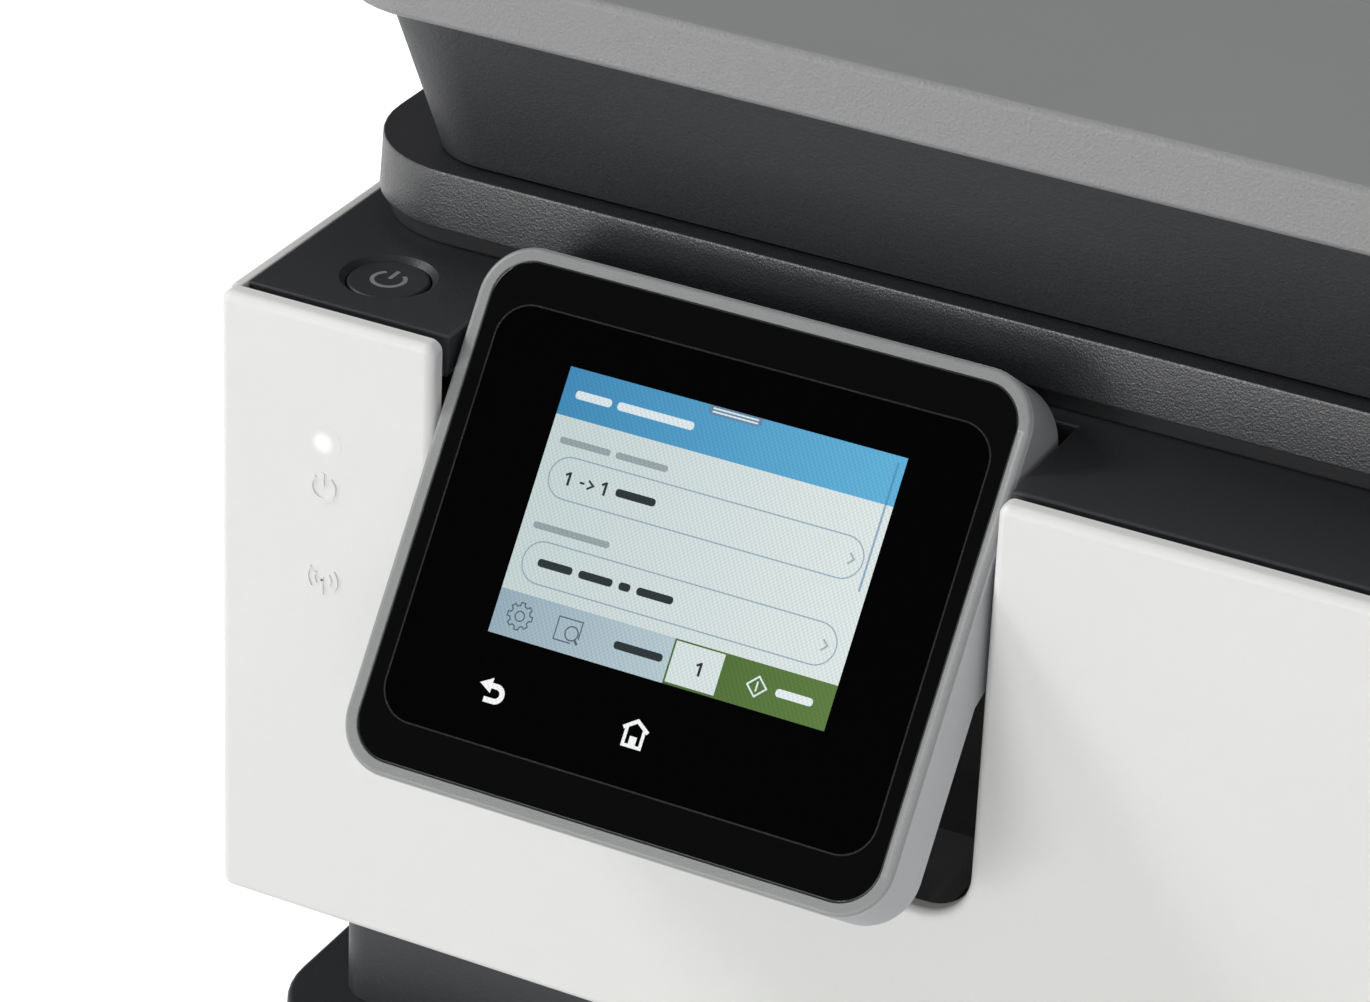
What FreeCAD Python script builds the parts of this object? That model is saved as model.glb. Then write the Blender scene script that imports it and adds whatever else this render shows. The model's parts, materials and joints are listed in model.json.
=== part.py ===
"""All-in-one inkjet printer: white body on a dark base, flatbed scanner with a document feeder.

Millimetres. X runs to the right, the front faces -Y, Z is up. The origin is on the floor under the
middle of the machine, with the touch panel tilted out as it is used.
"""
import FreeCAD, Part
import math
import os
import re

import Sketcher

Vector = FreeCAD.Vector

# Driving dimensions: alias, value, meaning
SIZES = [
    ("body_w", 439, "width across the side panels"),
    ("body_depth", 330, "front door face to rear face"),
    ("foot_h", 4, "height of the rubber feet"),
    ("base_h", 93.8, "height of the base"),
    ("neck_h", 24.6, "height of the neck between base and body"),
    ("door_h", 105.7, "height of the front door"),
    ("scan_foot_h", 3.2, "height of the scanner's foot band"),
    ("rim_h", 9.6, "height of the scanner's rim band"),
    ("lid_h", 26.8, "height of the lid up to the slab"),
    ("slab_h", 10.25, "thickness of the top slab"),
    ("wall", 3, "wall of the moulded shells"),
    ("side_t", 2, "thickness of the side panels"),
    ("sheet_t", 1.5, "thickness of the sheet steel"),
    ("fit", 0.3, "gap between pieces that seat or slide"),
    ("run_fit", 0.05, "radial clearance of a pin in its bore"),
    ("edge_round", 1, "small rounding on outer edges"),
    ("base_inset", 3.9, "base side behind the body side"),
    ("base_setback", 2, "base front behind the door face"),
    ("base_corner", 16.6, "plan radius of the base"),
    ("back_inset", 5, "base rear in front of the rear face"),
    ("foot_r", 9, "radius of a rubber foot"),
    ("foot_margin", 36, "foot centre in from the base edges"),
    ("neck_inset", 12.6, "neck side behind the body side"),
    ("neck_setback", 14.4, "neck front behind the door face"),
    ("neck_corner", 6.2, "plan radius of the neck"),
    ("mouth_half", 158, "half width of the tray opening"),
    ("mouth_h", 51, "height of the tray opening"),
    ("bar_h", 3.5, "bar between tray opening and output bay"),
    ("bay_half", 122, "half width of the output bay"),
    ("bay_depth", 60, "depth of the output bay"),
    ("slider_half", 58, "half width of the output extension"),
    ("slider_len", 150, "length of the output extension"),
    ("slider_t", 2.7, "thickness of the output extension"),
    ("tray_half", 150, "half width of the paper tray box"),
    ("tray_wall", 2.5, "wall of the paper tray"),
    ("tray_h", 45, "height of the paper tray walls"),
    ("tray_front_t", 12, "thickness of the paper tray front"),
    ("grip_half", 45, "half width of the tray finger grip"),
    ("grip_h", 18, "height of the tray finger grip"),
    ("grip_depth", 9, "depth of the tray finger grip"),
    ("paper_half", 108.5, "half width between the paper guides"),
    ("length_guide_gap", 7.2, "length guide behind the tray front"),
    ("guide_t", 2.5, "thickness of the paper guides"),
    ("guide_h", 30, "height of the paper guides"),
    ("guide_len", 70, "length of a width guide"),
    ("guide_foot", 28, "width of a guide's foot"),
    ("length_guide_half", 30, "half width of the length guide"),
    ("chassis_inset", 19.5, "chassis plates in from the body sides"),
    ("chassis_front", 20, "chassis front behind the door face"),
    ("chassis_back", 30, "chassis rear in front of the rear face"),
    ("relief_h", 8, "depth of the chassis relief under the power button"),
    ("door_t", 3, "thickness of the front door skin"),
    ("door_corner", 1.8, "corner radius of the front door"),
    ("door_round", 1.5, "front edge rounding of the door"),
    ("swing_depth", 9, "depth of the side panels' relief for the door's swing"),
    ("swing_h", 8, "height of that relief"),
    ("hinge_depth", 6, "door hinge axis behind the door face"),
    ("hinge_lift", 4, "door hinge axis above the door's lower edge"),
    ("hinge_pin_r", 1.6, "radius of the door hinge studs"),
    ("hinge_arm", 2.5, "half height of the chassis arm at the hinge"),
    ("ear_r", 3.6, "radius of the door's hinge ears"),
    ("ear_t", 3.6, "thickness of the door's hinge ears"),
    ("inner_inset", 27.5, "door's inner panel in from the body sides"),
    ("inner_lift", 15, "inner panel above the door's lower edge"),
    ("inner_drop", 9, "inner panel and recess below the door top"),
    ("inner_depth", 8.5, "inner panel's rear face behind the door face"),
    ("liner_t", 2.4, "wall of the inner panel and recess"),
    ("notch_gap", 0.75, "screen notch beyond the touch panel, each side"),
    ("notch_h", 70.4, "depth of the screen notch below the door top"),
    ("notch_corner", 7.8, "lower corner radius of the screen notch"),
    ("recess_depth", 22.5, "recess back behind the door face"),
    ("panel_from_side", 82.8, "touch panel centre from the left side"),
    ("panel_half", 45.05, "half width of the touch panel"),
    ("panel_h", 81.85, "height of the touch panel"),
    ("panel_corner", 8.5, "corner radius of the touch panel"),
    ("panel_below", 52.35, "panel below its pivot"),
    ("panel_front", 6.6, "panel face in front of its pivot"),
    ("tilt", 35, "panel tilt from upright, as used"),
    ("pivot_depth", 5.4, "panel pivot behind the door face"),
    ("pivot_drop", 16, "panel pivot below the door top"),
    ("trunnion_r", 1.5, "radius of the panel's pivot pins"),
    ("frame_t", 3, "thickness of the panel frame"),
    ("frame_lip", 2.05, "visible width of the panel frame"),
    ("frame_ledge", 2.5, "ledge that carries the glass"),
    ("frame_round", 0.8, "front edge rounding of the frame"),
    ("glass_t", 1.2, "thickness of the touch glass"),
    ("glass_round", 0.4, "front edge rounding of the touch glass"),
    ("glass_sink", 0.15, "glass below the frame's face"),
    ("housing_back", 4.9, "lower housing back behind the pivot"),
    ("housing_bulge", 11.5, "upper housing back behind the pivot"),
    ("bulge_start", 17.6, "bulge's lower end below the pivot"),
    ("bulge_low", 8.6, "full bulge from here below the pivot"),
    ("bulge_high", 5, "full bulge up to here above the pivot"),
    ("housing_top", 4, "housing back at its upper edge"),
    ("housing_wall", 2.2, "wall of the panel housing"),
    ("lcd_w", 60, "width of the display module"),
    ("lcd_h", 47, "height of the display module"),
    ("lcd_t", 2.5, "thickness of the display module"),
    ("lcd_from_base", 45.15, "display centre above the panel's lower edge"),
    ("deck_t", 3, "thickness of the top deck"),
    ("deck_round", 0.5, "front edge rounding of the top deck"),
    ("deck_setback", 5, "deck front behind the door face"),
    ("deck_notch", 28, "depth of the deck's notch behind the door face"),
    ("skirt_t", 1.5, "thickness of the deck's skirt"),
    ("skirt_h", 3, "height of the deck's skirt below the plate"),
    ("button_r", 6.4, "radius of the power button"),
    ("button_gap", 0.25, "gap round the power button"),
    ("button_sink", 0.5, "button top below the deck"),
    ("button_flange", 1, "width of the button's retaining flange"),
    ("button_flange_t", 1.2, "thickness of the retaining flange"),
    ("dish_r", 7.6, "radius of the dish round the button"),
    ("dish_depth", 0.9, "depth of the dish round the button"),
    ("button_from_side", 19.2, "button centre from the left side"),
    ("button_depth", 17.6, "button centre behind the door face"),
    ("rear_t", 5, "thickness of the rear panel"),
    ("access_inset", 119.5, "rear access door in from the body sides"),
    ("access_h", 66, "height of the rear access door"),
    ("access_lift", 12, "access door above the body's lower edge"),
    ("access_t", 3, "thickness of the rear access door"),
    ("access_barrel", 2.4, "radius of the access door's hinge barrel"),
    ("access_pin_r", 1.5, "radius of the access door's pins"),
    ("access_pin_len", 4, "length of the access door's pins"),
    ("pull_half", 16, "half width of the access door's finger scoop"),
    ("pull_h", 8, "height of the access door's finger scoop"),
    ("pull_depth", 1.6, "depth of the access door's finger scoop"),
    ("vent_w", 3, "width of a rear vent slot"),
    ("vent_pitch", 8, "spacing of the rear vent slots"),
    ("vent_h", 26, "height of a rear vent slot"),
    ("screw_r", 1.5, "shank radius of the case screws"),
    ("screw_head_r", 3.2, "head radius of the case screws"),
    ("screw_head_t", 1.6, "head height of the case screws"),
    ("screw_len", 6, "length of a case screw under its head"),
    ("screw_inset", 9, "case screws in from the panel's edges"),
    ("socket_lift", 18, "socket centres above the body's lower edge"),
    ("board_from_side", 101.5, "main board's inner edge from the right side"),
    ("board_h", 78, "height of the main board"),
    ("board_t", 1.6, "thickness of the main board"),
    ("usb_from_side", 71.5, "printer socket centre from the right side"),
    ("usb_w", 12, "width of the printer socket"),
    ("usb_h", 11.5, "height of the printer socket"),
    ("lan_from_side", 45.5, "network socket centre from the right side"),
    ("lan_w", 16, "width of the network socket"),
    ("lan_h", 13.5, "height of the network socket"),
    ("socket_wall", 1.6, "wall of the sockets"),
    ("socket_depth", 14, "depth of the sockets"),
    ("supply_w", 64, "width of the power supply"),
    ("supply_len", 60, "length of the power supply"),
    ("supply_h", 50, "height of the power supply"),
    ("inlet_from_side", 49.5, "mains inlet centre from the left side"),
    ("inlet_half", 4.4, "half spacing of the inlet's rounded ends"),
    ("inlet_r", 4.6, "radius of the inlet's rounded ends"),
    ("inlet_wall", 2.6, "wall round the mains inlet"),
    ("inlet_depth", 17, "depth of the mains inlet"),
    ("inlet_pin_r", 1.2, "radius of the inlet pins"),
    ("inlet_pin_len", 9, "length of the inlet pins"),
    ("platen_drop", 5.4, "platen top below the body's lower edge"),
    ("platen_t", 5, "thickness of the platen"),
    ("platen_front", 64, "platen front behind the door face"),
    ("platen_rear", 118, "platen rear behind the door face"),
    ("station_w", 70, "width left beside the platen for the service station"),
    ("groove_half", 6, "half width of the platen's foam groove"),
    ("groove_depth", 2, "depth of the platen's foam groove"),
    ("station_h", 17, "height of the service station"),
    ("cap_half", 11, "half width of a service cap"),
    ("cap_gap", 26, "service cap centres from the station's ends"),
    ("head_gap", 2, "print head above the platen"),
    ("head_h", 11, "height of the print head"),
    ("head_half", 48, "half width of the print head"),
    ("head_front", 66, "print head front behind the door face"),
    ("head_rear", 106, "print head rear behind the door face"),
    ("park_gap", 65, "parked carriage centre from the chassis plate"),
    ("carriage_half", 60, "half width of the carriage"),
    ("carriage_front", 34, "carriage front behind the door face"),
    ("carriage_rear", 124, "carriage rear behind the door face"),
    ("carriage_h", 56, "height of the carriage"),
    ("pocket_rear", 108, "cartridge pocket's rear behind the door face"),
    ("cartridge_w", 27, "width of an ink cartridge"),
    ("cartridge_gap", 0.8, "gap between ink cartridges"),
    ("cartridge_h", 46, "height of an ink cartridge"),
    ("cartridge_front", 37, "cartridge front behind the door face"),
    ("tab_h", 9, "height of the cartridge's pull tab"),
    ("tab_depth", 4, "depth of the cartridge's pull tab"),
    ("rod_r", 4, "radius of the guide rod"),
    ("rod_depth", 117, "guide rod behind the door face"),
    ("rod_lift", 20, "guide rod above the carriage's underside"),
    ("beam_depth", 131, "carriage beam behind the door face"),
    ("beam_lift", 1, "beam's lower edge above the carriage's underside"),
    ("beam_h", 71, "height of the carriage beam"),
    ("beam_flange", 14, "width of the beam's top flange"),
    ("belt_lift", 35, "belt centre above the carriage's underside"),
    ("belt_depth", 125.5, "belt's front edge behind the door face"),
    ("belt_w", 4, "width of the carriage belt"),
    ("belt_t", 1, "thickness of the belts"),
    ("pulley_r", 6, "radius of the belt pulleys"),
    ("pulley_inset", 17, "pulley centres in from the chassis plates"),
    ("shaft_r", 1.5, "radius of the motor shafts"),
    ("clip_half", 10, "half width of the carriage's belt clip"),
    ("clip_h", 4, "height of the clip above and below the belt"),
    ("motor_r", 15, "radius of the carriage motor"),
    ("motor_len", 28, "length of the carriage motor"),
    ("feed_depth", 142, "feed roller behind the door face"),
    ("feed_r", 8, "radius of the feed roller"),
    ("feed_half", 115, "half length of the feed roller's coat"),
    ("feed_shaft_r", 4, "radius of the feed roller's shaft"),
    ("exit_depth", 48, "exit roller behind the door face"),
    ("exit_r", 6.5, "radius of the exit wheels"),
    ("exit_w", 14, "width of an exit wheel"),
    ("exit_pitch", 45, "spacing of the exit wheels"),
    ("exit_shaft_r", 3, "radius of the exit roller's shaft"),
    ("tooth_module", 0.8, "module of the gears"),
    ("gear_w", 6, "width of the gears"),
    ("gear_gap", 2, "gear to chassis plate"),
    ("paper_motor_r", 14, "radius of the paper motor"),
    ("paper_motor_len", 24, "length of the paper motor"),
    ("post_r", 2.5, "radius of the paper motor's posts"),
    ("post_spread", 11.2, "posts above and below the motor's axis"),
    ("band_r", 6, "radius of the roller belt on the feed shaft"),
    ("band_w", 1.4, "width of the roller belt"),
    ("pickup_depth", 235, "pickup roller behind the door face"),
    ("pickup_lift", 14, "pickup roller's tyre above the tray opening"),
    ("pickup_r", 13, "radius of the pickup tyres"),
    ("pickup_w", 16, "width of a pickup tyre"),
    ("pickup_x", 24, "pickup tyre centres from the middle"),
    ("pickup_shaft_r", 3.5, "radius of the pickup shaft"),
    ("rim_inset", 2, "scanner rim behind the body side"),
    ("rim_setback", 30, "scanner rim front behind the door face"),
    ("rim_corner", 19, "plan radius of the scanner rim"),
    ("rim_draft", 3, "inward draft of the scanner rim, degrees"),
    ("top_inset", 8, "scanner and slab rear in front of the rear face"),
    ("foot_inset", 1.6, "scanner foot band behind the rim"),
    ("tub_inset", 12, "scanner's tub in from the chassis plates"),
    ("tub_front", 50, "tub front behind the door face"),
    ("tub_back", 30, "tub rear in front of the rear face"),
    ("tub_depth", 24, "depth of the tub below the deck"),
    ("tub_wall", 2.5, "wall of the scanner's tub"),
    ("pane_inset", 28, "scanner glass in from the tub's sides"),
    ("pane_front", 62, "scanner glass front behind the door face"),
    ("pane_back", 42, "scanner glass rear in front of the rear face"),
    ("pane_t", 3, "thickness of the scanner glass"),
    ("pane_ledge", 4, "ledge under the scanner glass"),
    ("ledge_t", 2, "thickness of that ledge"),
    ("rail_h", 5, "height of the scan bar's rail"),
    ("rail_half", 3, "half width of the scan bar's rail"),
    ("bar_w", 24, "width of the scan bar"),
    ("bar_from_side", 2, "parked scan bar from the tub's side"),
    ("lid_gap", 0.4, "gap between lid and scanner rim"),
    ("lid_inset", 13.8, "lid's lower edge behind the body side"),
    ("lid_setback", 34.05, "lid's lower edge behind the door face"),
    ("lid_back", 18, "lid's lower edge in front of the rear face"),
    ("lid_corner", 11.7, "plan radius of the lid's lower edge"),
    ("lid_flare", 18.9, "outward flare of the lid, degrees"),
    ("lid_floor", 6, "thickness of the lid's floor"),
    ("lid_wall", 4, "lid's wall, measured level"),
    ("pad_side", 5, "lid's backing pad beyond the scanner glass, each side"),
    ("pad_margin", 4, "pad beyond the scanner glass, front and rear"),
    ("pad_sink", 3, "depth of the pad's pocket"),
    ("lid_axis_in", 11, "lid hinge axis in front of the rear face"),
    ("lid_axis_up", 3.8, "lid hinge axis above the rim"),
    ("lid_hinge_inset", 69.5, "lid hinge centres in from the body sides"),
    ("knuckle_half", 9, "half width of the lid's hinge knuckle"),
    ("knuckle_r", 3.2, "radius of the lid's hinge knuckle"),
    ("knuckle_pin_r", 1.7, "radius of the lid hinge pin"),
    ("lug_t", 5, "thickness of a hinge lug"),
    ("slab_setback", 23.6, "slab front behind the door face"),
    ("slab_corner", 17, "plan radius of the slab"),
    ("slab_round", 1.2, "edge rounding of the slab"),
    ("slab_skin", 2.5, "skin of the slab over its hollow"),
    ("feeder_setback", 62, "feeder opening behind the slab's front"),
    ("feeder_back", 10.4, "feeder opening in front of the slab's rear"),
    ("feeder_left", 16, "feeder cover from the slab's left side"),
    ("feeder_len", 112, "length of the feeder cover"),
    ("cover_t", 3, "thickness of the feeder cover"),
    ("cover_pin_r", 1.5, "radius of the feeder cover's pins"),
    ("cover_pin_len", 4, "length of the feeder cover's pins"),
    ("strip_w", 3, "slab strip between cover and document tray"),
    ("doc_right", 14, "document tray from the slab's right side"),
    ("doc_sink", 6, "document tray floor below the slab's top"),
    ("doc_floor", 2.5, "thickness of the document tray's floor"),
    ("doc_wall", 2, "rim of the document tray"),
    ("doc_barrel", 2.2, "radius of the document tray's hinge barrel"),
    ("doc_guide_len", 44, "length of a document guide"),
    ("doc_guide_w", 12, "width of a document guide's foot"),
    ("doc_guide_t", 2, "thickness of the document guides"),
    ("doc_guide_x", 48, "document guides from the tray's left end"),
    ("doc_guide_top", 0.6, "document guides below the slab's top"),
    ("feeder_roller_r", 9, "radius of the feeder's tyres"),
    ("feeder_roller_w", 18, "width of a feeder tyre"),
    ("feeder_roller_x", 62, "feeder roller from the cover's left end"),
    ("feeder_roller_gap", 3, "feeder roller below the cover"),
    ("feeder_shaft_r", 3, "radius of the feeder roller's shaft"),
    ("bearing_half", 6, "half width of the feeder's bearing blocks"),
    ("bearing_t", 5, "thickness of the feeder's bearing blocks"),
]

# Derived places: alias, formula in the aliases above and before it
LAYOUT = [
    ("half_w", "body_w / 2"),
    ("chassis_half", "half_w - chassis_inset"),
    ("inner_half", "half_w - inner_inset"),
    ("access_half", "half_w - access_inset"),
    ("board_x", "half_w - board_from_side"),
    ("usb_x", "half_w - usb_from_side"),
    ("lan_x", "half_w - lan_from_side"),
    ("inlet_x", "half_w - inlet_from_side"),
    ("lid_hinge_x", "half_w - lid_hinge_inset"),
    ("platen_end", "chassis_half - station_w"),
    ("carriage_x", "chassis_half - park_gap"),
    ("pulley_x", "chassis_half - pulley_inset"),
    ("tub_half", "chassis_half - tub_inset"),
    ("pane_half", "tub_half - pane_inset"),
    ("pad_half", "pane_half + pad_side"),
    ("chassis_rear", "body_depth - chassis_back"),
    ("tub_rear", "body_depth - tub_back"),
    ("pane_rear", "body_depth - pane_back"),
    ("panel_reach", "panel_below * sin(tilt) + panel_front * cos(tilt) - pivot_depth"),
    ("front", "-(body_depth - panel_reach) / 2"),
    ("rear", "front + body_depth"),
    ("base_floor", "foot_h + wall"),
    ("base_top", "foot_h + base_h"),
    ("door_bottom", "base_top + neck_h"),
    ("door_top", "door_bottom + door_h"),
    ("rim_bottom", "door_top + scan_foot_h"),
    ("rim_top", "rim_bottom + rim_h"),
    ("slab_bottom", "rim_top + lid_h"),
    ("slab_top", "slab_bottom + slab_h"),
    ("base_half", "half_w - base_inset"),
    ("base_front", "front + base_setback"),
    ("base_rear", "rear - back_inset"),
    ("neck_half", "half_w - neck_inset"),
    ("neck_front", "front + neck_setback"),
    ("neck_rear", "base_rear - wall"),
    ("mouth_top", "base_floor + mouth_h"),
    ("bay_floor", "mouth_top + bar_h"),
    ("bay_back", "front + bay_depth"),
    ("slot_floor", "bay_floor + wall"),
    ("bay_surface", "slot_floor + slider_t + fit"),
    ("tray_bottom", "base_floor + fit"),
    ("tray_face_back", "base_front + tray_front_t"),
    ("tray_rear", "base_rear - wall - fit"),
    ("tray_deck", "tray_bottom + tray_wall"),
    ("deck_half", "half_w - side_t - fit"),
    ("hinge_y", "front + hinge_depth"),
    ("hinge_z", "door_bottom + hinge_lift"),
    ("door_back", "front + door_t"),
    ("inner_top", "door_top - inner_drop"),
    ("inner_bottom", "door_bottom + inner_lift"),
    ("notch_floor", "door_top - notch_h"),
    ("panel_x", "panel_from_side - half_w"),
    ("notch_half", "panel_half + notch_gap"),
    ("pivot_y", "front + pivot_depth"),
    ("pivot_z", "door_top - pivot_drop"),
    ("frame_back", "frame_t - panel_front"),
    ("panel_top", "panel_h - panel_below"),
    ("glass_front", "glass_sink - panel_front"),
    ("glass_back", "glass_front + glass_t"),
    ("lcd_z", "lcd_from_base - panel_below"),
    ("button_x", "button_from_side - half_w"),
    ("button_y", "front + button_depth"),
    ("deck_under", "door_top - deck_t"),
    ("rear_inner", "rear - rear_t"),
    ("access_bottom", "door_bottom + access_lift"),
    ("access_axis_y", "rear - access_barrel"),
    ("access_axis_z", "access_bottom + access_barrel"),
    ("socket_z", "door_bottom + socket_lift"),
    ("board_y", "front + chassis_rear - board_t"),
    ("platen_top", "door_bottom - platen_drop"),
    ("carriage_bottom", "platen_top + head_gap + head_h"),
    ("carriage_top", "carriage_bottom + carriage_h"),
    ("pocket_floor", "carriage_bottom + wall"),
    ("cartridge_pitch", "cartridge_w + cartridge_gap"),
    ("pocket_half", "2 * cartridge_pitch + cartridge_gap / 2"),
    ("rod_y", "front + rod_depth"),
    ("rod_z", "carriage_bottom + rod_lift"),
    ("beam_y", "front + beam_depth"),
    ("beam_bottom", "carriage_bottom + beam_lift"),
    ("belt_y", "front + belt_depth"),
    ("belt_z", "carriage_bottom + belt_lift"),
    ("belt_in_r", "pulley_r + fit"),
    ("belt_out_r", "belt_in_r + belt_t"),
    ("feed_y", "front + feed_depth"),
    ("feed_z", "platen_top - feed_r"),
    ("exit_y", "front + exit_depth"),
    ("exit_z", "platen_top - exit_r"),
    ("band_exit_r", "band_r * exit_r / feed_r"),
    ("band_left", "-(chassis_half + sheet_t + fit + band_w)"),
    ("pickup_y", "front + pickup_depth"),
    ("pickup_z", "mouth_top + pickup_lift"),
    ("rim_half", "half_w - rim_inset"),
    ("rim_front", "front + rim_setback"),
    ("top_rear", "rear - top_inset"),
    ("tub_floor", "door_top - tub_depth + tub_wall"),
    ("pane_bottom", "rim_top - pane_t"),
    ("tub_ceiling", "pane_bottom - ledge_t"),
    ("lid_bottom", "rim_top + lid_gap"),
    ("lid_half", "half_w - lid_inset"),
    ("lid_front", "front + lid_setback"),
    ("lid_rear", "rear - lid_back"),
    ("lid_deck", "lid_bottom + lid_floor"),
    ("lid_axis_y", "rear - lid_axis_in"),
    ("lid_axis_z", "rim_top + lid_axis_up"),
    ("slab_front", "front + slab_setback"),
    ("feeder_front", "slab_front + feeder_setback"),
    ("feeder_rear", "top_rear - feeder_back"),
    ("cover_left", "feeder_left - half_w"),
    ("cover_right", "cover_left + feeder_len"),
    ("cover_axis_x", "cover_left + cover_t + fit"),
    ("cover_axis_z", "slab_top - cover_t"),
    ("doc_left", "cover_right + strip_w"),
    ("doc_end", "half_w - doc_right"),
    ("doc_deck", "slab_top - doc_sink"),
    ("doc_under", "doc_deck - doc_floor"),
    ("doc_axis_x", "doc_left + fit + doc_barrel"),
    ("doc_axis_z", "doc_under + doc_barrel"),
    ("roller_x", "cover_left + feeder_roller_x"),
    ("roller_z", "slab_top - cover_t - feeder_roller_gap - feeder_roller_r"),
]

CARTRIDGES = ("black", "yellow", "magenta", "cyan")
FEED_TEETH = 48
PINION_TEETH = 12
VENTS_PER_SIDE = 7
EXIT_WHEELS = 5

# How far a cutting tool reaches past the face that it opens
OVER = 1

doc = FreeCAD.newDocument("printer")
sizes = doc.addObject("Spreadsheet::Sheet", "sizes")
layout = doc.addObject("Spreadsheet::Sheet", "layout")
SHEET_OF = {}
parts = []


def with_sheets(formula):
    """A formula in plain aliases, with each alias led by the name of its sheet."""
    def lead(match):
        word = match.group()
        return f"{SHEET_OF[word]}.{word}" if word in SHEET_OF else word
    return re.sub(r"[A-Za-z_]\w*", lead, str(formula))


def fill_sheets():
    for row, (alias, value, meaning) in enumerate(SIZES, 1):
        sizes.set(f"A{row}", meaning)
        sizes.set(f"B{row}", str(value))
        sizes.setAlias(f"B{row}", alias)
        SHEET_OF[alias] = "sizes"
    for row, (alias, formula) in enumerate(LAYOUT, 1):
        layout.set(f"A{row}", "=" + with_sheets(formula).replace("layout.", ""))
        layout.setAlias(f"A{row}", alias)
        SHEET_OF[alias] = "layout"
    doc.recompute()


def size(alias):
    """The value of one alias, for places that an expression cannot reach."""
    sheet = sizes if SHEET_OF[alias] == "sizes" else layout
    return float(sheet.get(alias))


def bind(item, prop, formula):
    item.setExpression(prop, with_sheets(formula))


def both(half):
    """A span that is symmetric about the middle."""
    return (f"-({half})", half)


def about(centre, half):
    return (f"{centre} - ({half})", f"{centre} + ({half})")


def on_side(side, near, far):
    """A span on the right (side 1) or mirrored to the left (side -1)."""
    return (near, far) if side > 0 else (f"-({far})", f"-({near})")


def block(name, x, y, z):
    """A box given by its start and end along each axis."""
    item = doc.addObject("Part::Box", name)
    for axis, length, (start, end) in zip("xyz", ("Length", "Width", "Height"), (x, y, z)):
        bind(item, f"Placement.Base.{axis}", start)
        bind(item, length, f"({end}) - ({start})")
    return item


TURNS = {
    "x": FreeCAD.Rotation(Vector(0, 1, 0), 90),
    "y": FreeCAD.Rotation(Vector(1, 0, 0), -90),
    "z": FreeCAD.Rotation(),
}


def rod(name, axis, centre, span, radius):
    """A cylinder along one axis; centre holds its two other coordinates in order."""
    item = doc.addObject("Part::Cylinder", name)
    item.Placement.Rotation = TURNS[axis]
    across = [letter for letter in "xyz" if letter != axis]
    for letter, formula in zip(across, centre):
        bind(item, f"Placement.Base.{letter}", formula)
    start, end = span
    bind(item, f"Placement.Base.{axis}", start)
    bind(item, "Height", f"({end}) - ({start})")
    bind(item, "Radius", radius)
    return item


def join(name, *items):
    result = doc.addObject("Part::MultiFuse", name)
    result.Shapes = list(items)
    result.Refine = True
    return result


def cut(name, base, *tools):
    result = doc.addObject("Part::Cut", name)
    result.Base = base
    result.Tool = tools[0] if len(tools) == 1 else join(name + "_tools", *tools)
    result.Refine = True
    return result


def common(name, first, second):
    result = doc.addObject("Part::Common", name)
    result.Base = first
    result.Tool = second
    return result


def group(name, items):
    result = doc.addObject("Part::Compound", name)
    result.Links = list(items)
    return result


def along(axis):
    """Picks straight edges that run along one axis."""
    index = "xyz".index(axis)

    def pick(edge):
        if not isinstance(edge.Curve, Part.Line):
            return False
        return abs(abs(edge.Curve.Direction[index]) - 1) < 1e-6
    return pick


def at_level(axis, alias):
    """Picks edges that lie wholly in one plane across an axis."""
    index = "xyz".index(axis)
    level = size(alias)

    def pick(edge):
        return all(abs(point[index] - level) < 1e-4 for point in edge.discretize(3))
    return pick


def near(pick, axis, alias):
    """Narrows a pick to edges whose middle lies at one coordinate."""
    index = "xyz".index(axis)
    level = size(alias)
    return lambda edge: pick(edge) and abs(edge.CenterOfMass[index] - level) < 1e-3


def rounded(name, base, radius, pick):
    """A fillet of one radius on the picked edges."""
    doc.recompute()
    result = doc.addObject("Part::Fillet", name)
    result.Base = base
    value = size(radius) if isinstance(radius, str) else radius
    chosen = [(i, value, value) for i, edge in enumerate(base.Shape.Edges, 1) if pick(edge)]
    if not chosen:
        raise ValueError(f"no edge to round on {name}")
    result.Edges = chosen
    return result


def round_block(name, x, y, z, radius):
    """A box with its four upright edges rounded."""
    return rounded(name, block(name + "_box", x, y, z), radius, along("z"))


def origin_plane(body, role):
    return next(plane for plane in body.Origin.OriginFeatures if plane.Role == role)


def new_sketch(body, name, role):
    sketch = body.newObject("Sketcher::SketchObject", name)
    sketch.AttachmentSupport = [(origin_plane(body, role), "")]
    sketch.MapMode = "FlatFace"
    return sketch


def constrain(sketch, constraint, name, formula):
    sketch.renameConstraint(sketch.addConstraint(constraint), name)
    bind(sketch, f".Constraints.{name}", formula)


def profile(name, corners, x):
    """A body padded along X from a straight-edged outline of (y, z) corners."""
    body = doc.addObject("PartDesign::Body", name)
    sketch = new_sketch(body, name + "_outline", "YZ_Plane")
    count = len(corners)
    for i in range(count):
        turn = 2 * math.pi * i / count
        following = 2 * math.pi * (i + 1) / count
        start = Vector(math.cos(turn), math.sin(turn), 0)
        end = Vector(math.cos(following), math.sin(following), 0)
        sketch.addGeometry(Part.LineSegment(start, end))
    for i in range(count):
        sketch.addConstraint(Sketcher.Constraint("Coincident", i, 2, (i + 1) % count, 1))
    for i, (y, z) in enumerate(corners):
        constrain(sketch, Sketcher.Constraint("DistanceX", -1, 1, i, 1, 1), f"y{i}", y)
        constrain(sketch, Sketcher.Constraint("DistanceY", -1, 1, i, 1, 1), f"z{i}", z)
    bind(sketch, "AttachmentOffset.Base.z", x[0])
    pad = body.newObject("PartDesign::Pad", name + "_pad")
    pad.Profile = sketch
    bind(pad, "Length", f"({x[1]}) - ({x[0]})")
    return body


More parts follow.
